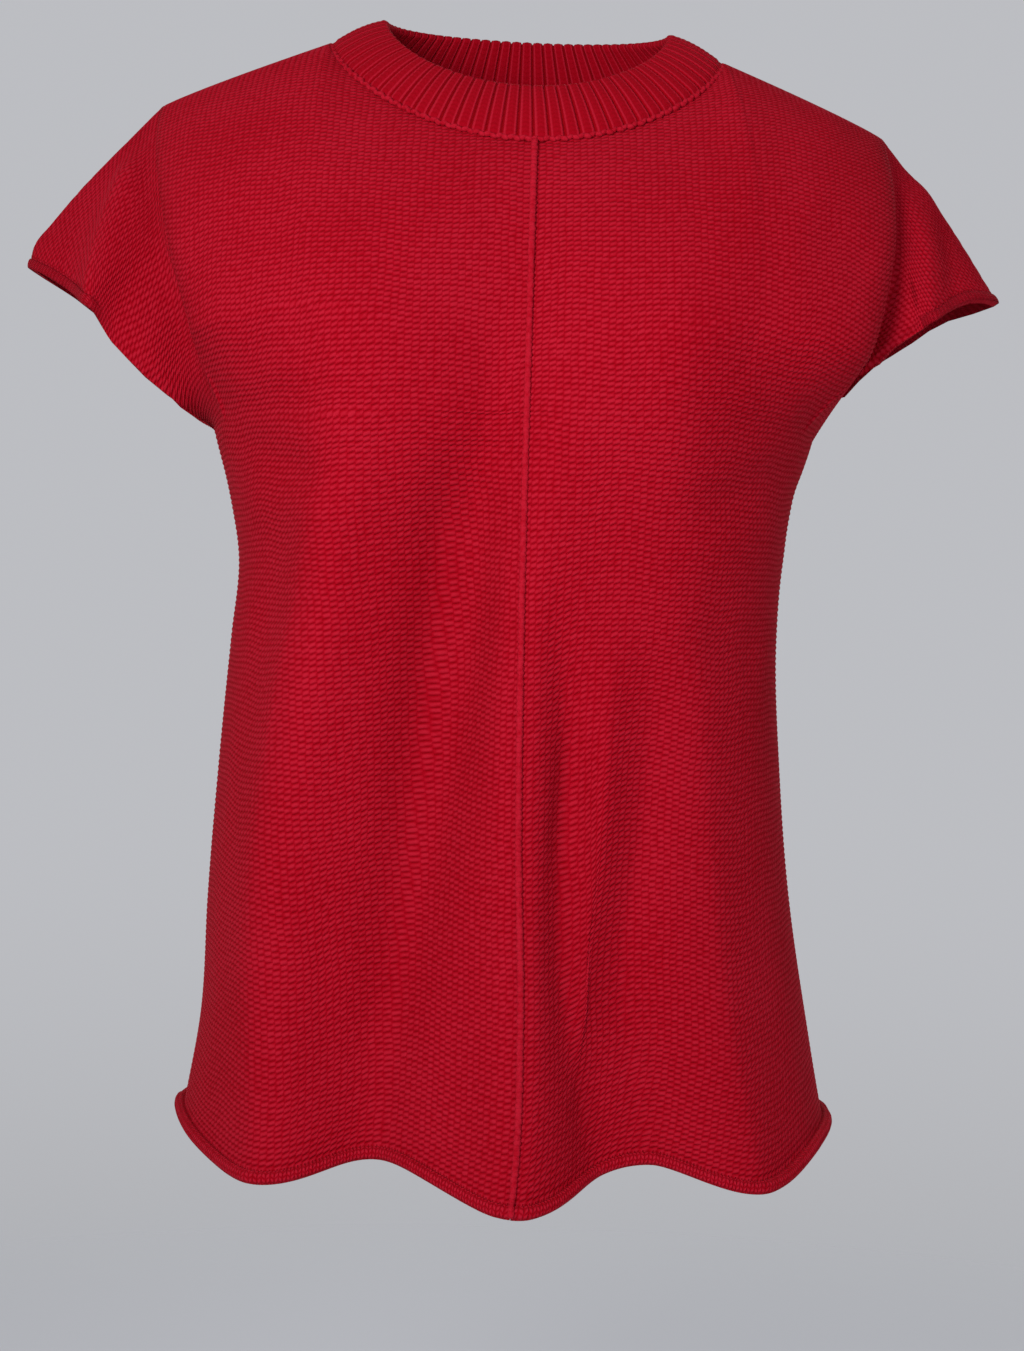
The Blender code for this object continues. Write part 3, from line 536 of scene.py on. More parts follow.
def half_surface(side, face, across, up):
    """Half of the front or back. up is 0 at the hem, 1 at the armpit and 2 at the top row."""
    yoke = np.clip(up - 1.0, 0.0, 1.0)
    body = body_points(side, face, across, np.clip(up, 0.0, 1.0))
    chest = chest_points(side, face, across, yoke)
    sleeve = sleeve_points(side, face, across, yoke)
    upper = np.where((across < CHEST_SHARE)[..., None], chest, sleeve)
    return np.where((up < 1.0)[..., None], body, upper)


def crease_rise(face, x, z):
    """What the smaller folds and creases add to the solid's folds."""
    rise = fold_rise(SMALL_FOLDS[face], x, z, 1.8)
    for c in CREASES[face]:
        line = np.array([c.x1 - c.x0, c.z1 - c.z0])
        length = np.hypot(*line)
        along = ((x - c.x0) * line[0] + (z - c.z0) * line[1]) / length**2
        off = ((x - c.x0) * line[1] - (z - c.z0) * line[0]) / length
        fade = smooth(along / 0.25) * smooth((1.0 - along) / 0.45)
        rise = rise + c.rise * fade * np.exp(-((off / c.width) ** 2))
    return rise


def row_drift(out, up):
    """How far the rows of knit wander up and down, as they do in hand-guided knitting."""
    drift = np.zeros_like(out)
    for k, wave in enumerate(ROW_DRIFTS):
        drift = drift + wave.rise * np.sin(2.0 * pi * (out / wave.across + up / wave.up) + 1.7 * k)
    return drift * smooth((up - 0.008) / 0.020)


def uneven(at, waves, start):
    """A curled edge's thickness, which varies a little along it."""
    (first, large), (second, small) = waves
    return 1.0 + large * np.sin(first * at + start) + small * np.sin(second * at)


class Panel:
    """Half of the front or back: where its columns and rows of knit lie on the garment's surface."""

    def __init__(self, side, face):
        self.side, self.face = side, face
        turn = np.sin(np.linspace(0.0, 1.0, 221)[1:] * pi / 2)
        self.level = np.concatenate([np.linspace(0.0, 1.0, 181), 1.0 + mix(turn, turn**2, 0.5)])
        ones = np.ones_like(self.level)
        ends = [half_surface(side, face, ones * a, self.level) for a in (CHEST_SHARE, 1.0)]
        self.spans = np.maximum(length_of(ends[1] - ends[0]), LEAST_SPAN)
        neck = np.linspace(0.0, NECK_SHARE, NECK_COLUMNS + 1)
        shoulder = np.linspace(NECK_SHARE, 1.0, SHOULDER_COLUMNS + 1)[1:]
        self.chest = np.concatenate([neck, shoulder]) * CHEST_SHARE
        self.sleeve = np.linspace(0.0, 1.0, SLEEVE_COLUMNS + 1)[1:-1]
        self.curl = np.linspace(CURL_END, CURL_START, CURL_STEPS)
        self.edge = len(self.chest) + len(self.sleeve)
        self.count = self.edge + CURL_STEPS
        self.measure()

    def across(self, level, curled):
        """The share across of every column at these levels; a curled edge's columns bunch on its arc."""
        span = np.interp(level, self.level, self.spans)
        sleeve_part = 1.0 - CHEST_SHARE
        first = len(self.chest)
        chest = np.broadcast_to(self.chest, (len(level), first))
        before_edge = 1.0 - 2.0 * ROLL_RADIUS / span[:, first : self.edge]
        sleeve = CHEST_SHARE + sleeve_part * self.sleeve * before_edge
        distance = np.linspace(2.0 * ROLL_RADIUS, 0.0, CURL_STEPS)
        if curled:
            bent = ROLL_RADIUS * (1.0 - np.cos(self.curl))
            distance = mix(distance, bent, self.curl_share(level[:, self.edge :]))
        edge = 1.0 - sleeve_part * distance / span[:, self.edge :]
        return np.concatenate([chest, sleeve, edge], axis=1)

    @staticmethod
    def curl_share(level):
        """How far the sleeve's edge has curled: only round its tip."""
        return smooth((level - TIP_LEVEL) / TIP_FADE)

    def measure(self):
        """Lengths of knit up each column, and across from the centre, on a fine grid."""
        level = np.repeat(self.level[:, None], self.count, axis=1)
        points = self.surface(self.across(level, False), level)
        up, out = run_along(points, 0), run_along(points, 1)
        armpit = int(np.searchsorted(self.level, 1.0))
        body = up[: armpit + 1] / up[armpit] * BODY_LENGTH
        self.up = np.concatenate([body, BODY_LENGTH + up[armpit + 1 :] - up[armpit]])
        edge = len(self.chest) - 1
        moved = np.abs(points[armpit:, : edge + 1, 0]) - np.abs(points[armpit, : edge + 1, 0])
        chest = out[armpit, : edge + 1] + moved
        sleeve = out[armpit:, edge + 1 :] - out[armpit:, edge : edge + 1] + chest[:, -1:]
        self.out = np.concatenate([out[:armpit], np.concatenate([chest, sleeve], axis=1)])
        self.turn_sleeve(points, armpit, edge)
        self.cut_area = self.measure_area(points)
        self.cut_size = (float(self.out.max()), float(self.up.max()))

    def turn_sleeve(self, points, armpit, edge):
        """Past the chest's edge the rows of knit slope down and outward."""
        steps = np.diff(points[armpit:, edge:], axis=1)
        level = length_of(steps[..., :2]).cumsum(axis=1)
        drop = -steps[..., 2].cumsum(axis=1)
        slope, rise = np.sin(SLEEVE_SLOPE), np.cos(SLEEVE_SLOPE)
        up = self.up[armpit:, edge : edge + 1] + level * slope - drop * rise
        out = self.out[armpit:, edge : edge + 1] + level * rise + drop * slope
        turned = smooth((self.level[armpit:, None] - 1.0) / SLEEVE_TURN)
        up = mix(self.up[armpit:, edge + 1 :], up, turned)
        self.up[armpit:, edge + 1 :] = np.maximum.accumulate(up, axis=0)
        self.out[armpit:, edge + 1 :] = mix(self.out[armpit:, edge + 1 :], out, turned)

    @staticmethod
    def measure_area(points):
        a, b, c, d = points[:-1, :-1], points[:-1, 1:], points[1:, 1:], points[1:, :-1]
        halves = (np.cross(b - a, c - a), np.cross(c - a, d - a))
        return float(sum(length_of(h).sum() for h in halves) / 2.0)

    def read_columns(self, values, at, keys):
        """Each column of values read at its own rows."""
        return np.stack([np.interp(at[:, j], keys[:, j], values[:, j]) for j in range(self.count)], axis=1)

    def edge_bend(self, across, level):
        """How far the sleeve's edge turns in round the arm."""
        distance = (1.0 - across) / (1.0 - CHEST_SHARE) * np.interp(level, self.level, self.spans)
        near = smooth((EDGE_BEND_WIDTH - distance) / EDGE_BEND_WIDTH) ** 2
        above_armpit = smooth((level - 1.0) / (1.5 * YOKE_TURN))
        return EDGE_BEND * near * above_armpit * (1.0 - self.curl_share(level))

    def normals(self, across, level):
        """Directions outward, which turn into those of the seams at the top, centre and side."""
        step_across, step_up = 0.003, 0.006
        low, high = np.maximum(level - step_up, 0.0), np.minimum(level + step_up, 2.0)
        rise = self.surface(across, high) - self.surface(across, low)
        low, high = np.maximum(across - step_across, 0.0), np.minimum(across + step_across, 1.0)
        run = self.surface(high, level) - self.surface(low, level)
        normal = np.cross(run, rise) * self.side * -self.face
        normal[:, 0, 0] = 0.0
        normal[level[:, -1] <= 1.0, -1, 1] = 0.0
        normal = unit(normal)
        chest = np.clip(across / CHEST_SHARE, 0.0, 1.0)
        neck = band_frame(neck_angle(self.side, self.face, chest))[1]
        seam = np.where((chest <= NECK_SHARE)[..., None], neck, normal * (1.0, 0.0, 1.0))
        return unit(mix(normal, seam, smooth((level - 1.96) / 0.04)[..., None]))

    def surface(self, across, level):
        """The solid's form, with the front of the sleeve's tip falling back in a plane."""
        points = half_surface(self.side, self.face, across, level)
        if self.face == FRONT:
            out = (across - CHEST_SHARE) / (1.0 - CHEST_SHARE)
            tip = smooth(out / 0.35) * smooth((level - 1.0 + TIP_LEAN * out - TIP_START) / TIP_SOFTNESS)
            points[..., 1] *= 1.0 - TIP_SLANT[self.side] * tip
        return points

    def cloth(self, across, level, depth):
        """The solid's surface, the directions out of it, and the folded cloth's points at this depth."""
        surface, normal = self.surface(across, level), self.normals(across, level)
        rise = crease_rise(self.face, surface[..., 0], surface[..., 2]) - depth
        rise = rise - self.edge_bend(across, level)
        return surface, normal, surface + normal * rise[..., None]

    def relief(self, rows, level, out, at):
        """How far the rows of knit and the curled edges stand over the cloth."""
        relief = np.where(rows % 2 == 1, ROW_CREST, ROW_VALLEY)
        relief = np.concatenate([np.zeros(CURL_STEPS), relief])[:, None] * np.ones((1, self.count))
        if self.face == FRONT:
            relief -= SEAM_GROOVE * np.exp(-((np.abs(out) / SEAM_GROOVE_WIDTH - 1.2) ** 2))
        below_top = np.max(self.up, axis=0) - at
        at_neck = np.linspace(0.0, 1.0, self.count) <= (NECK_COLUMNS + 0.5) / self.count
        relief -= NECK_GROOVE * at_neck * np.exp(-((below_top / NECK_GROOVE_WIDTH - 1.0) ** 2))
        share = self.curl_share(level[:, self.edge :])
        relief[:, self.edge :] *= 1.0 - share
        relief[-1] = 0.0
        hem_curl, sleeve_curl = np.zeros_like(relief), np.zeros_like(relief)
        hem_curl[:CURL_STEPS] = ROLL_RADIUS * (EDGE_LIFT + np.sin(self.curl[::-1]))[:, None]
        sleeve_curl[:, self.edge :] = share * TIP_CURL * ROLL_RADIUS * (EDGE_LIFT + np.sin(self.curl))
        hem_curl = hem_curl * uneven(out, HEM_WAVES, 1.3 * self.side)
        return relief + hem_curl + sleeve_curl * uneven(at, SLEEVE_WAVES, self.face)

    def build(self):
        """The shell's rows of points on its outer and inner faces, with their places in the knit."""
        curl = self.curl[::-1]
        first_row = int(np.ceil(2.0 * ROLL_RADIUS / (COURSE / 2.0)))
        rows = np.arange(first_row, int(self.up.max() / (COURSE / 2.0)) + 3)
        length = np.concatenate([ROLL_RADIUS * (1.0 - np.cos(curl)), rows * COURSE / 2.0])
        keys = np.repeat(self.level[:, None], self.count, axis=1)
        at = np.repeat(length[:, None], self.count, axis=1)
        out = self.read_columns(self.out, at, self.up) * self.side
        at = at - row_drift(out, at)
        level = self.read_columns(keys, at, self.up)
        out = self.read_columns(self.out, at, self.up) * self.side
        at = self.read_columns(self.up, level, keys)
        self.ends = np.argmax(level >= 2.0 - 1e-9, axis=0)

        _, normal, points = self.cloth(self.across(level, True), level, 0.0)
        outer = points + normal * self.relief(rows, level, out, at)[..., None]
        kept = np.unique([0, *range(CURL_STEPS, len(length), INNER_EVERY), len(length) - 1]).tolist()
        inner_level = level[kept]
        inner_level[0] = 0.0
        inner_surface, _, inner = self.cloth(self.across(inner_level, False), inner_level, WALL)
        if self.face == FRONT:
            for sheet, at_seam in ((outer, points[:, 0, 2]), (inner, inner_surface[:, 0, 2])):
                sheet[:, 0, 0] = read(CENTRE_SEAM, "x", at_seam) + self.side * SEAM_GAP / 2

        curl_length = ROLL_RADIUS * np.abs(np.diff(curl, prepend=curl[0])).cumsum()
        knit_up = at + row_drift(out, at)
        knit_up[:CURL_STEPS] = (curl_length - curl_length[-1])[:, None] + first_row * COURSE / 2.0
        knit_out = out.copy()
        knit_out[:, self.edge :] += self.side * curl_length * self.curl_share(level[:, self.edge :])
        bake_up = at.copy()
        bake_up[:CURL_STEPS] = np.linspace(0.0, 2.0 * ROLL_RADIUS, CURL_STEPS)[:, None]
        return Shell(self, outer, inner, kept, (knit_out, knit_up), (np.abs(out), bake_up))


class Shell:
    """A panel's closed wall: its vertices, faces and maps."""

    def __init__(self, panel, outer, inner, kept, knit, bake):
        self.panel, self.kept = panel, kept
        self.rows, self.columns = outer.shape[:2]
        self.vertices = np.concatenate([outer.reshape(-1, 3), inner.reshape(-1, 3)])
        self.knit = np.stack(knit, axis=-1)
        scale = min(0.96 / bake[1].max(), 0.46 / bake[0].max())
        self.bake = np.stack(bake, axis=-1) * scale + MAP_MARGIN
        self.groups = []
        self.sheet(np.arange(self.rows), self.outer_id, 0.0, False)
        self.sheet(np.array(kept), self.inner_id, 0.48, True)
        self.hem_and_top()
        self.centre_and_side()

    def last_row(self, row, column):
        """A row, or the column's last one where that comes first."""
        return np.minimum(row, self.panel.ends[column])

    def outer_id(self, row, column):
        return self.last_row(row, column) * self.columns + column

    def inner_id(self, row, column):
        place = np.searchsorted(self.kept, row)
        ends = np.searchsorted(self.kept, self.panel.ends[column])
        return self.rows * self.columns + np.minimum(place, ends) * self.columns + column

    def sheet(self, rows, vertex_id, shift, inside):
        """The outer or inner face, with triangles where its columns end at the top."""
        low, high = rows[:-1, None], rows[1:, None]
        column = np.arange(self.columns - 1)[None, :]
        ids, knit, bake = [], [], []
        for r, c in ((low, column), (low, column + 1), (high, column + 1), (high, column)):
            r, c = np.broadcast_arrays(r, c)
            ids.append(vertex_id(r, c))
            knit.append(self.knit[self.last_row(r, c), c])
            bake.append(self.bake[self.last_row(r, c), c] + (shift, 0.0))
        ids, knit, bake = np.stack(ids, -1), np.stack(knit, -2), np.stack(bake, -2)
        material = np.full(ids.shape[:2], int(inside))
        if not inside:
            material[:CURL_STEPS] = 1
            curled = self.panel.curl_share(self.edge_level(rows[:-1])) > 0.25
            material[curled, self.panel.edge - 1 :] = 1
        left, right = ids[..., 0] == ids[..., 3], ids[..., 1] == ids[..., 2]
        for keep, pick in (
            (~left & ~right, [0, 1, 2, 3]),
            (left & ~right, [0, 1, 2]),
            (~left & right, [0, 1, 3]),
        ):
            self.add(ids[keep][:, pick], knit[keep][:, pick], bake[keep][:, pick], material[keep], inside)

    def edge_level(self, rows):
        """The level of the sleeve edge's column at these rows."""
        at = self.knit[self.last_row(rows, -1), -1, 1]
        return np.interp(at, self.panel.up[:, -1], self.panel.level)

    def add(self, ids, knit, bake, material, flip):
        if flip:
            ids, knit, bake = ids[:, ::-1], knit[:, ::-1], bake[:, ::-1]
        self.groups.append((ids, knit, bake, material))

    def hem_and_top(self):
        """Close the shell along its hem and its top row."""
        columns = np.arange(self.columns)
        u = MAP_MARGIN + 0.9 * columns / self.columns
        for rows, v, flip in ((np.zeros_like(columns), 0.982, False), (self.panel.ends, 0.990, True)):
            outside = rows * self.columns + columns
            inside = self.inner_id(rows, columns)
            ids = np.stack([outside[:-1], inside[:-1], inside[1:], outside[1:]], -1)
            ends = [(u[:-1], v), (u[:-1], v + 0.005), (u[1:], v + 0.005), (u[1:], v)]
            bake = np.stack([np.stack([a, np.full_like(a, b)], -1) for a, b in ends], -2)
            knit = self.knit[rows, columns]
            knit = np.stack([knit[:-1], knit[:-1], knit[1:], knit[1:]], -2)
            self.add(ids, knit, bake, np.ones(len(ids), int), flip)

    def centre_and_side(self):
        """Close it down the centre, the side seam and the sleeve's edge."""
        for column, u, flip in ((0, 0.972, True), (self.columns - 1, 0.984, False)):
            end = int(self.panel.ends[column])
            for low, high in zip(self.kept[:-1], self.kept[1:]):
                high = min(high, end)
                if low >= high:
                    break
                rows = np.arange(low, high + 1)
                inside = [int(self.inner_id(high, column)), int(self.inner_id(low, column))]
                ids = np.array([list(rows * self.columns + column) + inside])
                v = MAP_MARGIN + 0.9 * rows / self.rows
                bake = [(u, x) for x in v] + [(u + 0.006, v[-1]), (u + 0.006, v[0])]
                knit = np.concatenate([self.knit[rows, column], self.knit[[high, low], column]])
                self.add(ids, knit[None], np.array([bake]), np.ones(1, int), flip)


def place_object(name, data):
    item = bpy.data.objects.new(name, data)
    bpy.context.scene.collection.objects.link(item)
    return item


def make_object(name, vertices, groups, materials, flip):
    """A mesh object from groups of (vertex ids, knit map, bake map, material) faces."""
    faces, knit, bake, slots = [], [], [], []
    for ids, knit_map, bake_map, material in groups:
        if flip:
            ids, knit_map, bake_map = ids[:, ::-1], knit_map[:, ::-1], bake_map[:, ::-1]
        faces.extend(ids.tolist())
        knit.append(knit_map.reshape(-1, 2))
        bake.append(bake_map.reshape(-1, 2))
        slots.append(material)
    used = np.unique(np.concatenate([ids.ravel() for ids, *_ in groups]))
    place = np.zeros(len(vertices), int)
    place[used] = np.arange(len(used))
    mesh = bpy.data.meshes.new(name)
    mesh.from_pydata(vertices[used].tolist(), [], [[int(place[i]) for i in face] for face in faces])
    for map_name, values in (("OFBake", bake), ("Knit", knit)):
        layer = mesh.uv_layers.new(name=map_name)
        layer.data.foreach_set("uv", np.concatenate(values).astype(np.float32).ravel())
    mesh.uv_layers["Knit"].active_render = True
    mesh.uv_layers.active = mesh.uv_layers["Knit"]
    for material in materials:
        mesh.materials.append(material)
    mesh.polygons.foreach_set("material_index", np.concatenate(slots).astype(np.int32))
    mesh.shade_smooth()
    mesh.set_sharp_from_angle(angle=pi * 0.40)
    return place_object(name, mesh)


def operation(name):
    return lambda signal, other: signal.math(name, other)


class Signal:
    """A shader socket. Arithmetic on it adds Math nodes."""

    def __init__(self, nodes, socket):
        self.nodes, self.socket = nodes, socket

    def math(self, name, *others):
        inputs = dict(enumerate((self,) + others))
        return self.nodes.node("ShaderNodeMath", {"operation": name}, inputs)

    __add__ = __radd__ = operation("ADD")
    __mul__ = __rmul__ = operation("MULTIPLY")
    __sub__, __truediv__, __pow__ = operation("SUBTRACT"), operation("DIVIDE"), operation("POWER")

    def __rsub__(self, other):
        return self.nodes.node("ShaderNodeMath", {"operation": "SUBTRACT"}, {0: other, 1: self})

    def sine(self):
        return self.math("SINE")

    def size(self):
        return self.math("ABSOLUTE")

    def fraction(self):
        return self.math("FRACT")

    def between(self, low, high):
        """Rises smoothly from 0 at low to 1 at high."""
        settings = {"interpolation_type": "SMOOTHSTEP"}
        return self.nodes.node("ShaderNodeMapRange", settings, {"Value": self, 1: low, 2: high})


class Nodes:
    """The nodes of a material, or of the world."""

    def __init__(self, owner, shader="Principled BSDF"):
        self.owner = owner
        owner.use_nodes = True
        self.tree = owner.node_tree
        self.shader = self.tree.nodes[shader]

    def node(self, kind, settings=None, inputs=None, output=0):
        made = self.tree.nodes.new(kind)
        for key, value in (settings or {}).items():
            setattr(made, key, value)
        for key, value in (inputs or {}).items():
            self.put(made.inputs[key], value)
        return Signal(self, made.outputs[output])

    def put(self, socket, value):
        if isinstance(value, Signal):
            self.tree.links.new(value.socket, socket)
        else:
            socket.default_value = value

    def feed(self, **values):
        for key, value in values.items():
            self.put(self.shader.inputs[key.replace("_", " ")], value)

    def blend(self, share, first, second):
        settings = {"data_type": "RGBA"}
        return self.node("ShaderNodeMix", settings, {0: share, 6: first, 7: second}, output=2)

    def noise(self, place, scale, detail=2.0):
        """Soft noise about 0."""
        inputs = {"Vector": place, "Scale": scale, "Detail": detail}
        return self.node("ShaderNodeTexNoise", None, inputs) - 0.5

    def split(self, vector):
        """A vector's three numbers."""
        parts = self.tree.nodes.new("ShaderNodeSeparateXYZ")
        self.put(parts.inputs[0], vector)
        return [Signal(self, socket) for socket in parts.outputs]


def knit_place(nodes):
    """Stitch and course numbers, with the hand's small unevenness."""
    place = nodes.node("ShaderNodeUVMap", {"uv_map": "Knit"})
    drift = nodes.noise(place, 55.0)
    out, up, _ = nodes.split(place)
    return place, out / WALE + drift * 0.7, up / COURSE + drift * 0.25


def wool_finish(nodes, place, height, light, bump):
    """Colour, roughness, nap and bump of the yarn over a stitch's height."""
    mottle, wide = nodes.noise(place, 330.0, 3.0), nodes.noise(place, 16.0)
    fibre = nodes.noise(place, 2600.0)
    # For the purl, knit side and rib, light is painted shade and highlight: low in their gaps and grooves,
    # high on their crests. Mottle, wide and fibre are the yarn's own random tone
    share = light + mottle * 1.10 + wide * 0.45 + fibre * 0.40
    low = nodes.blend(share.between(0.0, 0.5), DEEP, MIDDLE)
    colour = nodes.blend(share.between(0.45, 1.1), low, BRIGHT)
    relief = height + fibre * 0.10 + mottle * 0.25
    bumped = nodes.node("ShaderNodeBump", None, {"Strength": 1.0, "Distance": bump, "Height": relief})
    nodes.feed(Base_Color=colour, Roughness=0.95 - light * 0.10, Normal=bumped)
    nodes.feed(Specular_IOR_Level=0.05, Sheen_Weight=0.05, Sheen_Roughness=0.5, Sheen_Tint=NAP)
    return nodes.owner


def purl_knit():
    """The purl side: rows of short yarn arcs that climb to the right, with small dark gaps between."""
    nodes = Nodes(bpy.data.materials.new("purl_knit"))
    place, stitch, course = knit_place(nodes)
    along = stitch.fraction() - 0.5
    row = ((course - along * DASH_CLIMB) * pi).sine().size()
    arc = 1.0 - (along.size() * 2.0) ** 3.0
    gap = (1.0 - row**0.8) * (arc * 0.5 + 0.5)
    height = (1.0 - gap) * (arc * 0.25 + 0.75)
    # Painted shade and highlight: the colour is deeper in the gaps between rows and brighter on the arcs'
    # crests
    light = 0.08 + height * 0.62 + arc * row * 0.30
    return wool_finish(nodes, place, height, light, 0.0007)


def knit_side():
    """The knit side: columns of small Vs."""
    nodes = Nodes(bpy.data.materials.new("knit_side"))
    place, stitch, course = knit_place(nodes)
    half = (stitch.fraction() - 0.5).size() * 2.0
    arm = ((course - half * 0.55) * pi).sine().size()
    height = (arm**0.7) * half.between(0.0, 0.25) * (1.0 - half.between(0.75, 1.0))
    # Painted shade and highlight: the colour is deeper where the stitch is low between the Vs' arms and
    # brighter on their crests
    return wool_finish(nodes, place, height, height * 0.8 + 0.22, 0.0005)


def rib_knit():
    """The rib: columns of Vs, whose two arms are painted bright as highlight beside a narrow line painted
    dark as shade, and plainer bands between.
    """
    nodes = Nodes(bpy.data.materials.new("rib_knit"))
    place = nodes.node("ShaderNodeUVMap", {"uv_map": "Knit"})
    rib, up, _ = nodes.split(place)
    drift = nodes.noise(place, 3.0)
    half = (rib.fraction() - 0.5 + drift * 0.10).size() * 2.0
    groove = 1.0 - half.between(0.08, 0.26)
    arm = half.between(0.14, 0.30) * (1.0 - half.between(0.40, 0.60))
    stitches = ((up / COURSE - half * 0.6) * pi).sine().size()
    purl = half.between(0.45, 0.6)
    height = 0.62 - groove * 0.50 + arm * (stitches * 0.14 + 0.30) + purl * stitches * 0.16
    # Painted shade and highlight: the colour is deeper in the groove, brighter on the arms, and brighter on
    # the bands' stitch crests
    light = 0.36 - groove * 0.30 + arm * (stitches * 0.20 + 0.55) + purl * (stitches - 0.6) * 0.25
    return wool_finish(nodes, place, height, light, 0.0004)


def cord_knit():
    """The chain stitches of the linked seams."""
    nodes = Nodes(bpy.data.materials.new("cord_knit"))
    where = nodes.node("ShaderNodeTexCoord", output=3)
    strand = nodes.noise(where, 900.0, 3.0)
    return wool_finish(nodes, where, strand, strand * 0.7 + 0.85, 0.0003)


def dress(item, slot, *nodes):
    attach(item, "root")
    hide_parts(*nodes)


def knit_panel(name, node, side, face, materials):
    panel = Panel(side, face)
    shell = panel.build()
    item = make_object(name, shell.vertices, shell.groups, materials, side * -face < 0)
    dress(item, "knit", node)


def band_path(angle):
    """The folded band's section at these angles: its points, outward directions, and lengths along it."""
    rise, out = band_frame(angle)
    low = neck_seam(angle) + rise * SEAM_GAP
    height = length_of(band_top(angle) - low)[:, None]
    radius = BAND_WALL / 2.0
    steps = int(BAND_HEIGHT / BAND_ROW)
    up = np.linspace(0.0, 1.0, steps)
    straight = height - radius
    bulge = read(BAND_BULGE, "rise", up) * BAND_WALL
    turn = np.linspace(0.0, pi, 11)[1:]
    down = np.linspace(1.0, 0.0, 26)[1:]
    along = np.concatenate([straight * up, straight + radius * np.sin(turn), straight * down], axis=1)
    over_fold = bulge[-1] + radius * (np.cos(turn) - 1.0)
    over = np.concatenate([bulge, over_fold, np.full(len(down), bulge[-1] - 2.0 * radius)])
    tilt = np.concatenate([np.zeros(steps), turn, np.full(len(down), pi)])
    points = low[:, None] + rise[:, None] * along[..., None] + out[:, None] * over[None, :, None]
    facing = out[:, None] * np.cos(tilt)[:, None] + rise[:, None] * np.sin(tilt)[:, None]
    return points, facing, run_along(points, 1)


def quad_group(ids, knit, bake, flip):
    """Quads over a grid of vertex ids, with their maps, as make_object takes them."""
    first, second = slice(None, -1), slice(1, None)
    corners = [(first, first), (second, first), (second, second), (first, second)]
    if flip:
        corners.reverse()
    quads = np.stack([ids[c] for c in corners], -1).reshape(-1, 4)
    knit = np.stack([knit[c] for c in corners], -2).reshape(-1, 4, 2)
    bake = np.stack([bake[c] for c in corners], -2).reshape(-1, 4, 2)
    return quads, knit, bake, np.zeros(len(quads), int)


def ribbed_band(material):
    """The neckband: its ribs follow the folded section up the outside and down the inside."""
    count = RIB_COUNT * COLUMNS_PER_RIB
    number = np.arange(count + 1)
    angle = number * 2.0 * pi / count - pi
    points, facing, run = band_path(angle)
    rib = number / COLUMNS_PER_RIB
    half = np.abs(rib % 1.0 - 0.5) * 2.0
    crest = np.interp(half, *RIB_PROFILE)
    rows = points.shape[1]
    grow = smooth(run / 0.004)
    stitches = np.cos(2.0 * pi * (run / COURSE - 0.55 * half[:, None]))
    relief = RIB_RELIEF * crest[:, None] * (0.45 + 0.55 * grow) + RIB_STITCH * stitches
    relief -= BASE_GROOVE * np.exp(-((run / BASE_GROOVE_WIDTH - 1.0) ** 2))
    points = points + facing * relief[..., None]
    kept = np.unique(np.append(np.arange(0, rows, BAND_INNER_EVERY), rows - 1))
    hidden = (points - facing * (BAND_PLY + relief)[..., None])[:, kept]
    width = length_of(np.diff(points[:, 0], axis=0)).sum() / count
    scale = 0.30 / run.max()
    groups = []
    outside_ids = np.arange(count)[:, None] * rows + np.arange(rows)
    hidden_ids = count * rows + np.arange(count)[:, None] * len(kept) + np.arange(len(kept))
    strips = 3
    per_strip = count // strips + 1
    outside = (outside_ids, run, False, 0.0, scale)
    inside = (hidden_ids, run[:, kept], True, 0.31, 0.01 / run.max())
    for ids, at, flip, first, flat_scale in (outside, inside):
        ids = np.concatenate([ids, ids[:1]])
        for strip in range(strips):
            low = strip * per_strip
            part = slice(low, min(low + per_strip, count) + 1)
            number_here = number[part, None] + 0 * at[part]
            knit = np.stack([number_here / COLUMNS_PER_RIB, at[part]], axis=-1)
            place = (number_here - low) * width * scale + MAP_MARGIN
            bake = np.stack([place, at[part] * flat_scale + MAP_MARGIN + first + 0.33 * strip], -1)
            groups.append(quad_group(ids[part], knit, bake, flip))
    u = number / count * 0.9 + MAP_MARGIN
    for row, flip, v in ((0, True, 0.988), (-1, False, 0.994)):
        pair = np.stack([outside_ids[:, row], hidden_ids[:, row]], -1)
        pair = np.concatenate([pair, pair[:1]])
        bake = np.stack([np.stack([u, np.full_like(u, end)], -1) for end in (v, v + 0.004)], 1)
        knit = np.stack([rib, rib * 0.0], -1)[:, None] + np.zeros((1, 2, 1))
        groups.append(quad_group(pair, knit, bake, flip))
    points = np.concatenate([points[:-1].reshape(-1, 3), hidden[:-1].reshape(-1, 3)])
    item = make_object("neckband_ribs", points, groups, [material], False)
    dress(item, "rib", "neckband")
    around = float(run_along(neck_seam(angle))[-1])


def link_template(size):
    """One smooth loop of a chain, along +X and facing +Z."""
    loop = bmesh.new()
    bmesh.ops.create_uvsphere(loop, u_segments=8, v_segments=6, radius=0.5)
    bmesh.ops.transform(loop, matrix=Matrix.Diagonal((*size, 1.0)), verts=loop.verts)
    bmesh.ops.recalc_face_normals(loop, faces=loop.faces)
    loop.verts.ensure_lookup_table()
    points = np.array([v.co[:] for v in loop.verts])
    faces = sorted([v.index for v in f.verts] for f in loop.faces)  # bmesh's own order varies
    loop.free()
    return points, faces


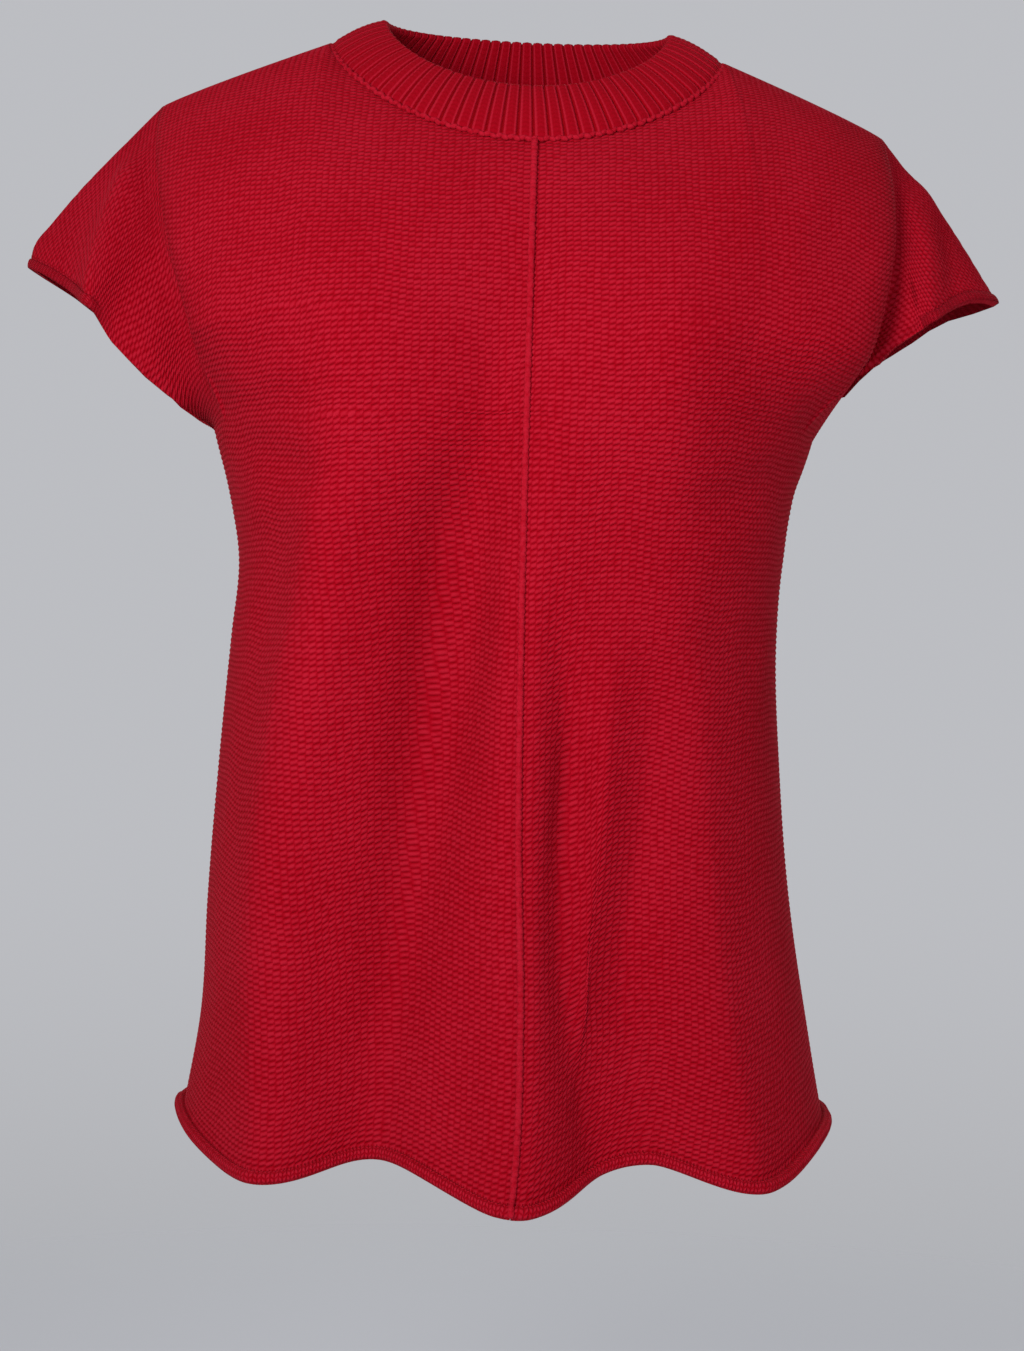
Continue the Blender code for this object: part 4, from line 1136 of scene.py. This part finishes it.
def chain(name, sizes, path, along, out, material):
    """Loops laid end to end along a path, each turned a little the other way."""
    points, faces = link_template(sizes.link)
    vertices, all_faces = [], []
    rng = np.random.default_rng(7)
    for k, (at, ahead, up) in enumerate(zip(path, along, out)):
        hand = 1 if k % 2 else -1
        sideways = np.cross(up, ahead)
        turn = sizes.turn * hand + rng.normal(0.0, 0.05)
        ahead = ahead * np.cos(turn) + sideways * np.sin(turn)
        scale = 1.0 + rng.normal(0.0, 0.04)
        placed = points[:, :1] * ahead + points[:, 1:2] * np.cross(up, ahead) + points[:, 2:] * up
        vertices.append(at + sideways * sizes.shift * hand + placed * scale)
        all_faces += [[i + k * len(points) for i in face] for face in faces]
    mesh = bpy.data.meshes.new(name)
    mesh.from_pydata(np.concatenate(vertices).tolist(), [], all_faces)
    mesh.materials.append(material)
    mesh.shade_smooth()
    return place_object(name, mesh)


def evenly(path, spacing, closed):
    """Points at an even spacing along a path, with directions along it."""
    run = run_along(path)
    count = int(run[-1] / spacing)
    at = np.arange(count) * run[-1] / count if closed else np.linspace(0.0, run[-1], count)
    found = np.stack([np.interp(at, run, path[:, k]) for k in range(3)], axis=-1)
    ahead = np.roll(found, -1, axis=0) - np.roll(found, 1, axis=0) if closed else np.gradient(found, axis=0)
    return found, unit(ahead), at / run[-1]


def neck_chain(material):
    """The rope of linked stitches round the neck, which lies flat over the shoulders."""
    steps = 1440
    angle = np.linspace(-pi, pi, steps + 1)
    rise, out = band_frame(angle)
    lift = NECK_CHAIN.lift - NECK_CHAIN_SINK * np.abs(np.sin(angle))[:, None] ** 12
    path = neck_seam(angle) + out * lift - rise * NECK_CHAIN_DROP
    found, ahead, share = evenly(path, NECK_CHAIN.spacing, True)
    facing = out[np.round(share * steps).astype(int)]
    item = chain("neck_seam_chain", NECK_CHAIN, found, ahead, facing, material)
    dress(item, "linked_seam", "neck_seam_ridge")


def front_chain(material):
    """The cord of linked stitches down the centre front, over the hem's roll."""
    level = np.linspace(*FRONT_CHAIN_ENDS, 700)
    panel = half_surface(LEFT, FRONT, np.zeros_like(level), level)
    z = panel[:, 2]
    ahead = unit(np.gradient(panel, axis=0))
    out = np.cross(np.tile((1.0, 0.0, 0.0), (len(level), 1)), ahead)
    panel = panel + out * crease_rise(FRONT, panel[:, 0], z)[:, None]
    from_hem = run_along(panel) + level[0] * BODY_LENGTH
    reach = 1.5 * ROLL_RADIUS
    over_curl = reach * np.sqrt(np.clip(1.0 - ((from_hem - ROLL_RADIUS) / reach) ** 2, 0.0, 1.0))
    path = panel + out * (FRONT_CHAIN.lift + over_curl[:, None])
    path[:, 0] = read(CENTRE_SEAM, "x", z)
    found, ahead, share = evenly(path, FRONT_CHAIN.spacing, False)
    facing = np.stack([np.interp(share, np.linspace(0, 1, len(out)), out[:, k]) for k in range(3)], -1)
    item = chain("front_seam_chain", FRONT_CHAIN, found, ahead, facing, material)
    dress(item, "linked_seam", "front_seam_ridge")


def pale_floor():
    """A plain pale floor that fades out at a distance."""
    plane = bmesh.new()
    bmesh.ops.create_circle(plane, cap_ends=True, segments=64, radius=FLOOR_RADIUS)
    bmesh.ops.translate(plane, verts=plane.verts, vec=(0.0, 0.0, FLOOR_Z))
    floor = bpy.data.meshes.new("floor")
    plane.to_mesh(floor)
    plane.free()
    pale = Nodes(bpy.data.materials.new("pale_floor"))
    where = pale.node("ShaderNodeTexCoord", output=3)
    distance = pale.node("ShaderNodeVectorMath", {"operation": "LENGTH"}, {0: where}, output=1)
    pale.feed(Base_Color=FLOOR_COLOUR, Roughness=0.9, Alpha=1.0 - distance.between(*FLOOR_FADE))
    floor.materials.append(pale.owner)
    item = place_object("floor", floor)


def studio():
    """The floor, a plain backdrop and soft light from the upper left."""
    pale_floor()
    sky = Nodes(bpy.data.worlds.new("studio"), "Background")
    toward = sky.split(sky.node("ShaderNodeTexCoord"))
    colour = PALE
    for axis, start, end in SKY_SHADES:
        colour = sky.blend(toward["XYZ".index(axis)].between(start, end), colour, SHADE)
    sky.feed(Color=colour)
    bpy.context.scene.world = sky.owner
    bpy.context.scene.view_settings.view_transform = "Standard"
    for lamp in LAMPS:
        light = bpy.data.lights.new(lamp.name, "AREA")
        light.shape, light.size, light.energy, light.color = "DISK", lamp.size, lamp.power, lamp.colour
        light.spread = np.radians(lamp.spread)
        item = place_object(lamp.name, light)
        item.location = lamp.place
        toward_aim = Vector(lamp.aim) - Vector(lamp.place)
        item.rotation_euler = toward_aim.to_track_quat("-Z", "Y").to_euler()


def photo_camera():
    """The photograph's camera."""
    camera = bpy.data.cameras.new("camera")
    camera.sensor_fit = "VERTICAL"
    camera.angle = 2.0 * np.arctan(PHOTO_HEIGHT / 2.0 / PHOTO_DISTANCE)
    item = place_object("camera", camera)
    level = Matrix.Translation(CAMERA_PLACE) @ Matrix.Rotation(pi / 2, 4, "X")
    item.matrix_world = level @ Matrix.Rotation(np.radians(CAMERA_ROLL), 4, "Z")
    bpy.context.scene.camera = item


def main():
    studio()
    photo_camera()
    purl, plain, rib, cord = purl_knit(), knit_side(), rib_knit(), cord_knit()
    for face in (FRONT, BACK):
        for side in (RIGHT, LEFT):
            half = f"{FACE_NAMES[face]}_{SIDE_NAMES[side]}"
            knit_panel(f"{half}_knit", half if face == FRONT else "back", side, face, [purl, plain])
    ribbed_band(rib)
    neck_chain(cord)
    front_chain(cord)


main()
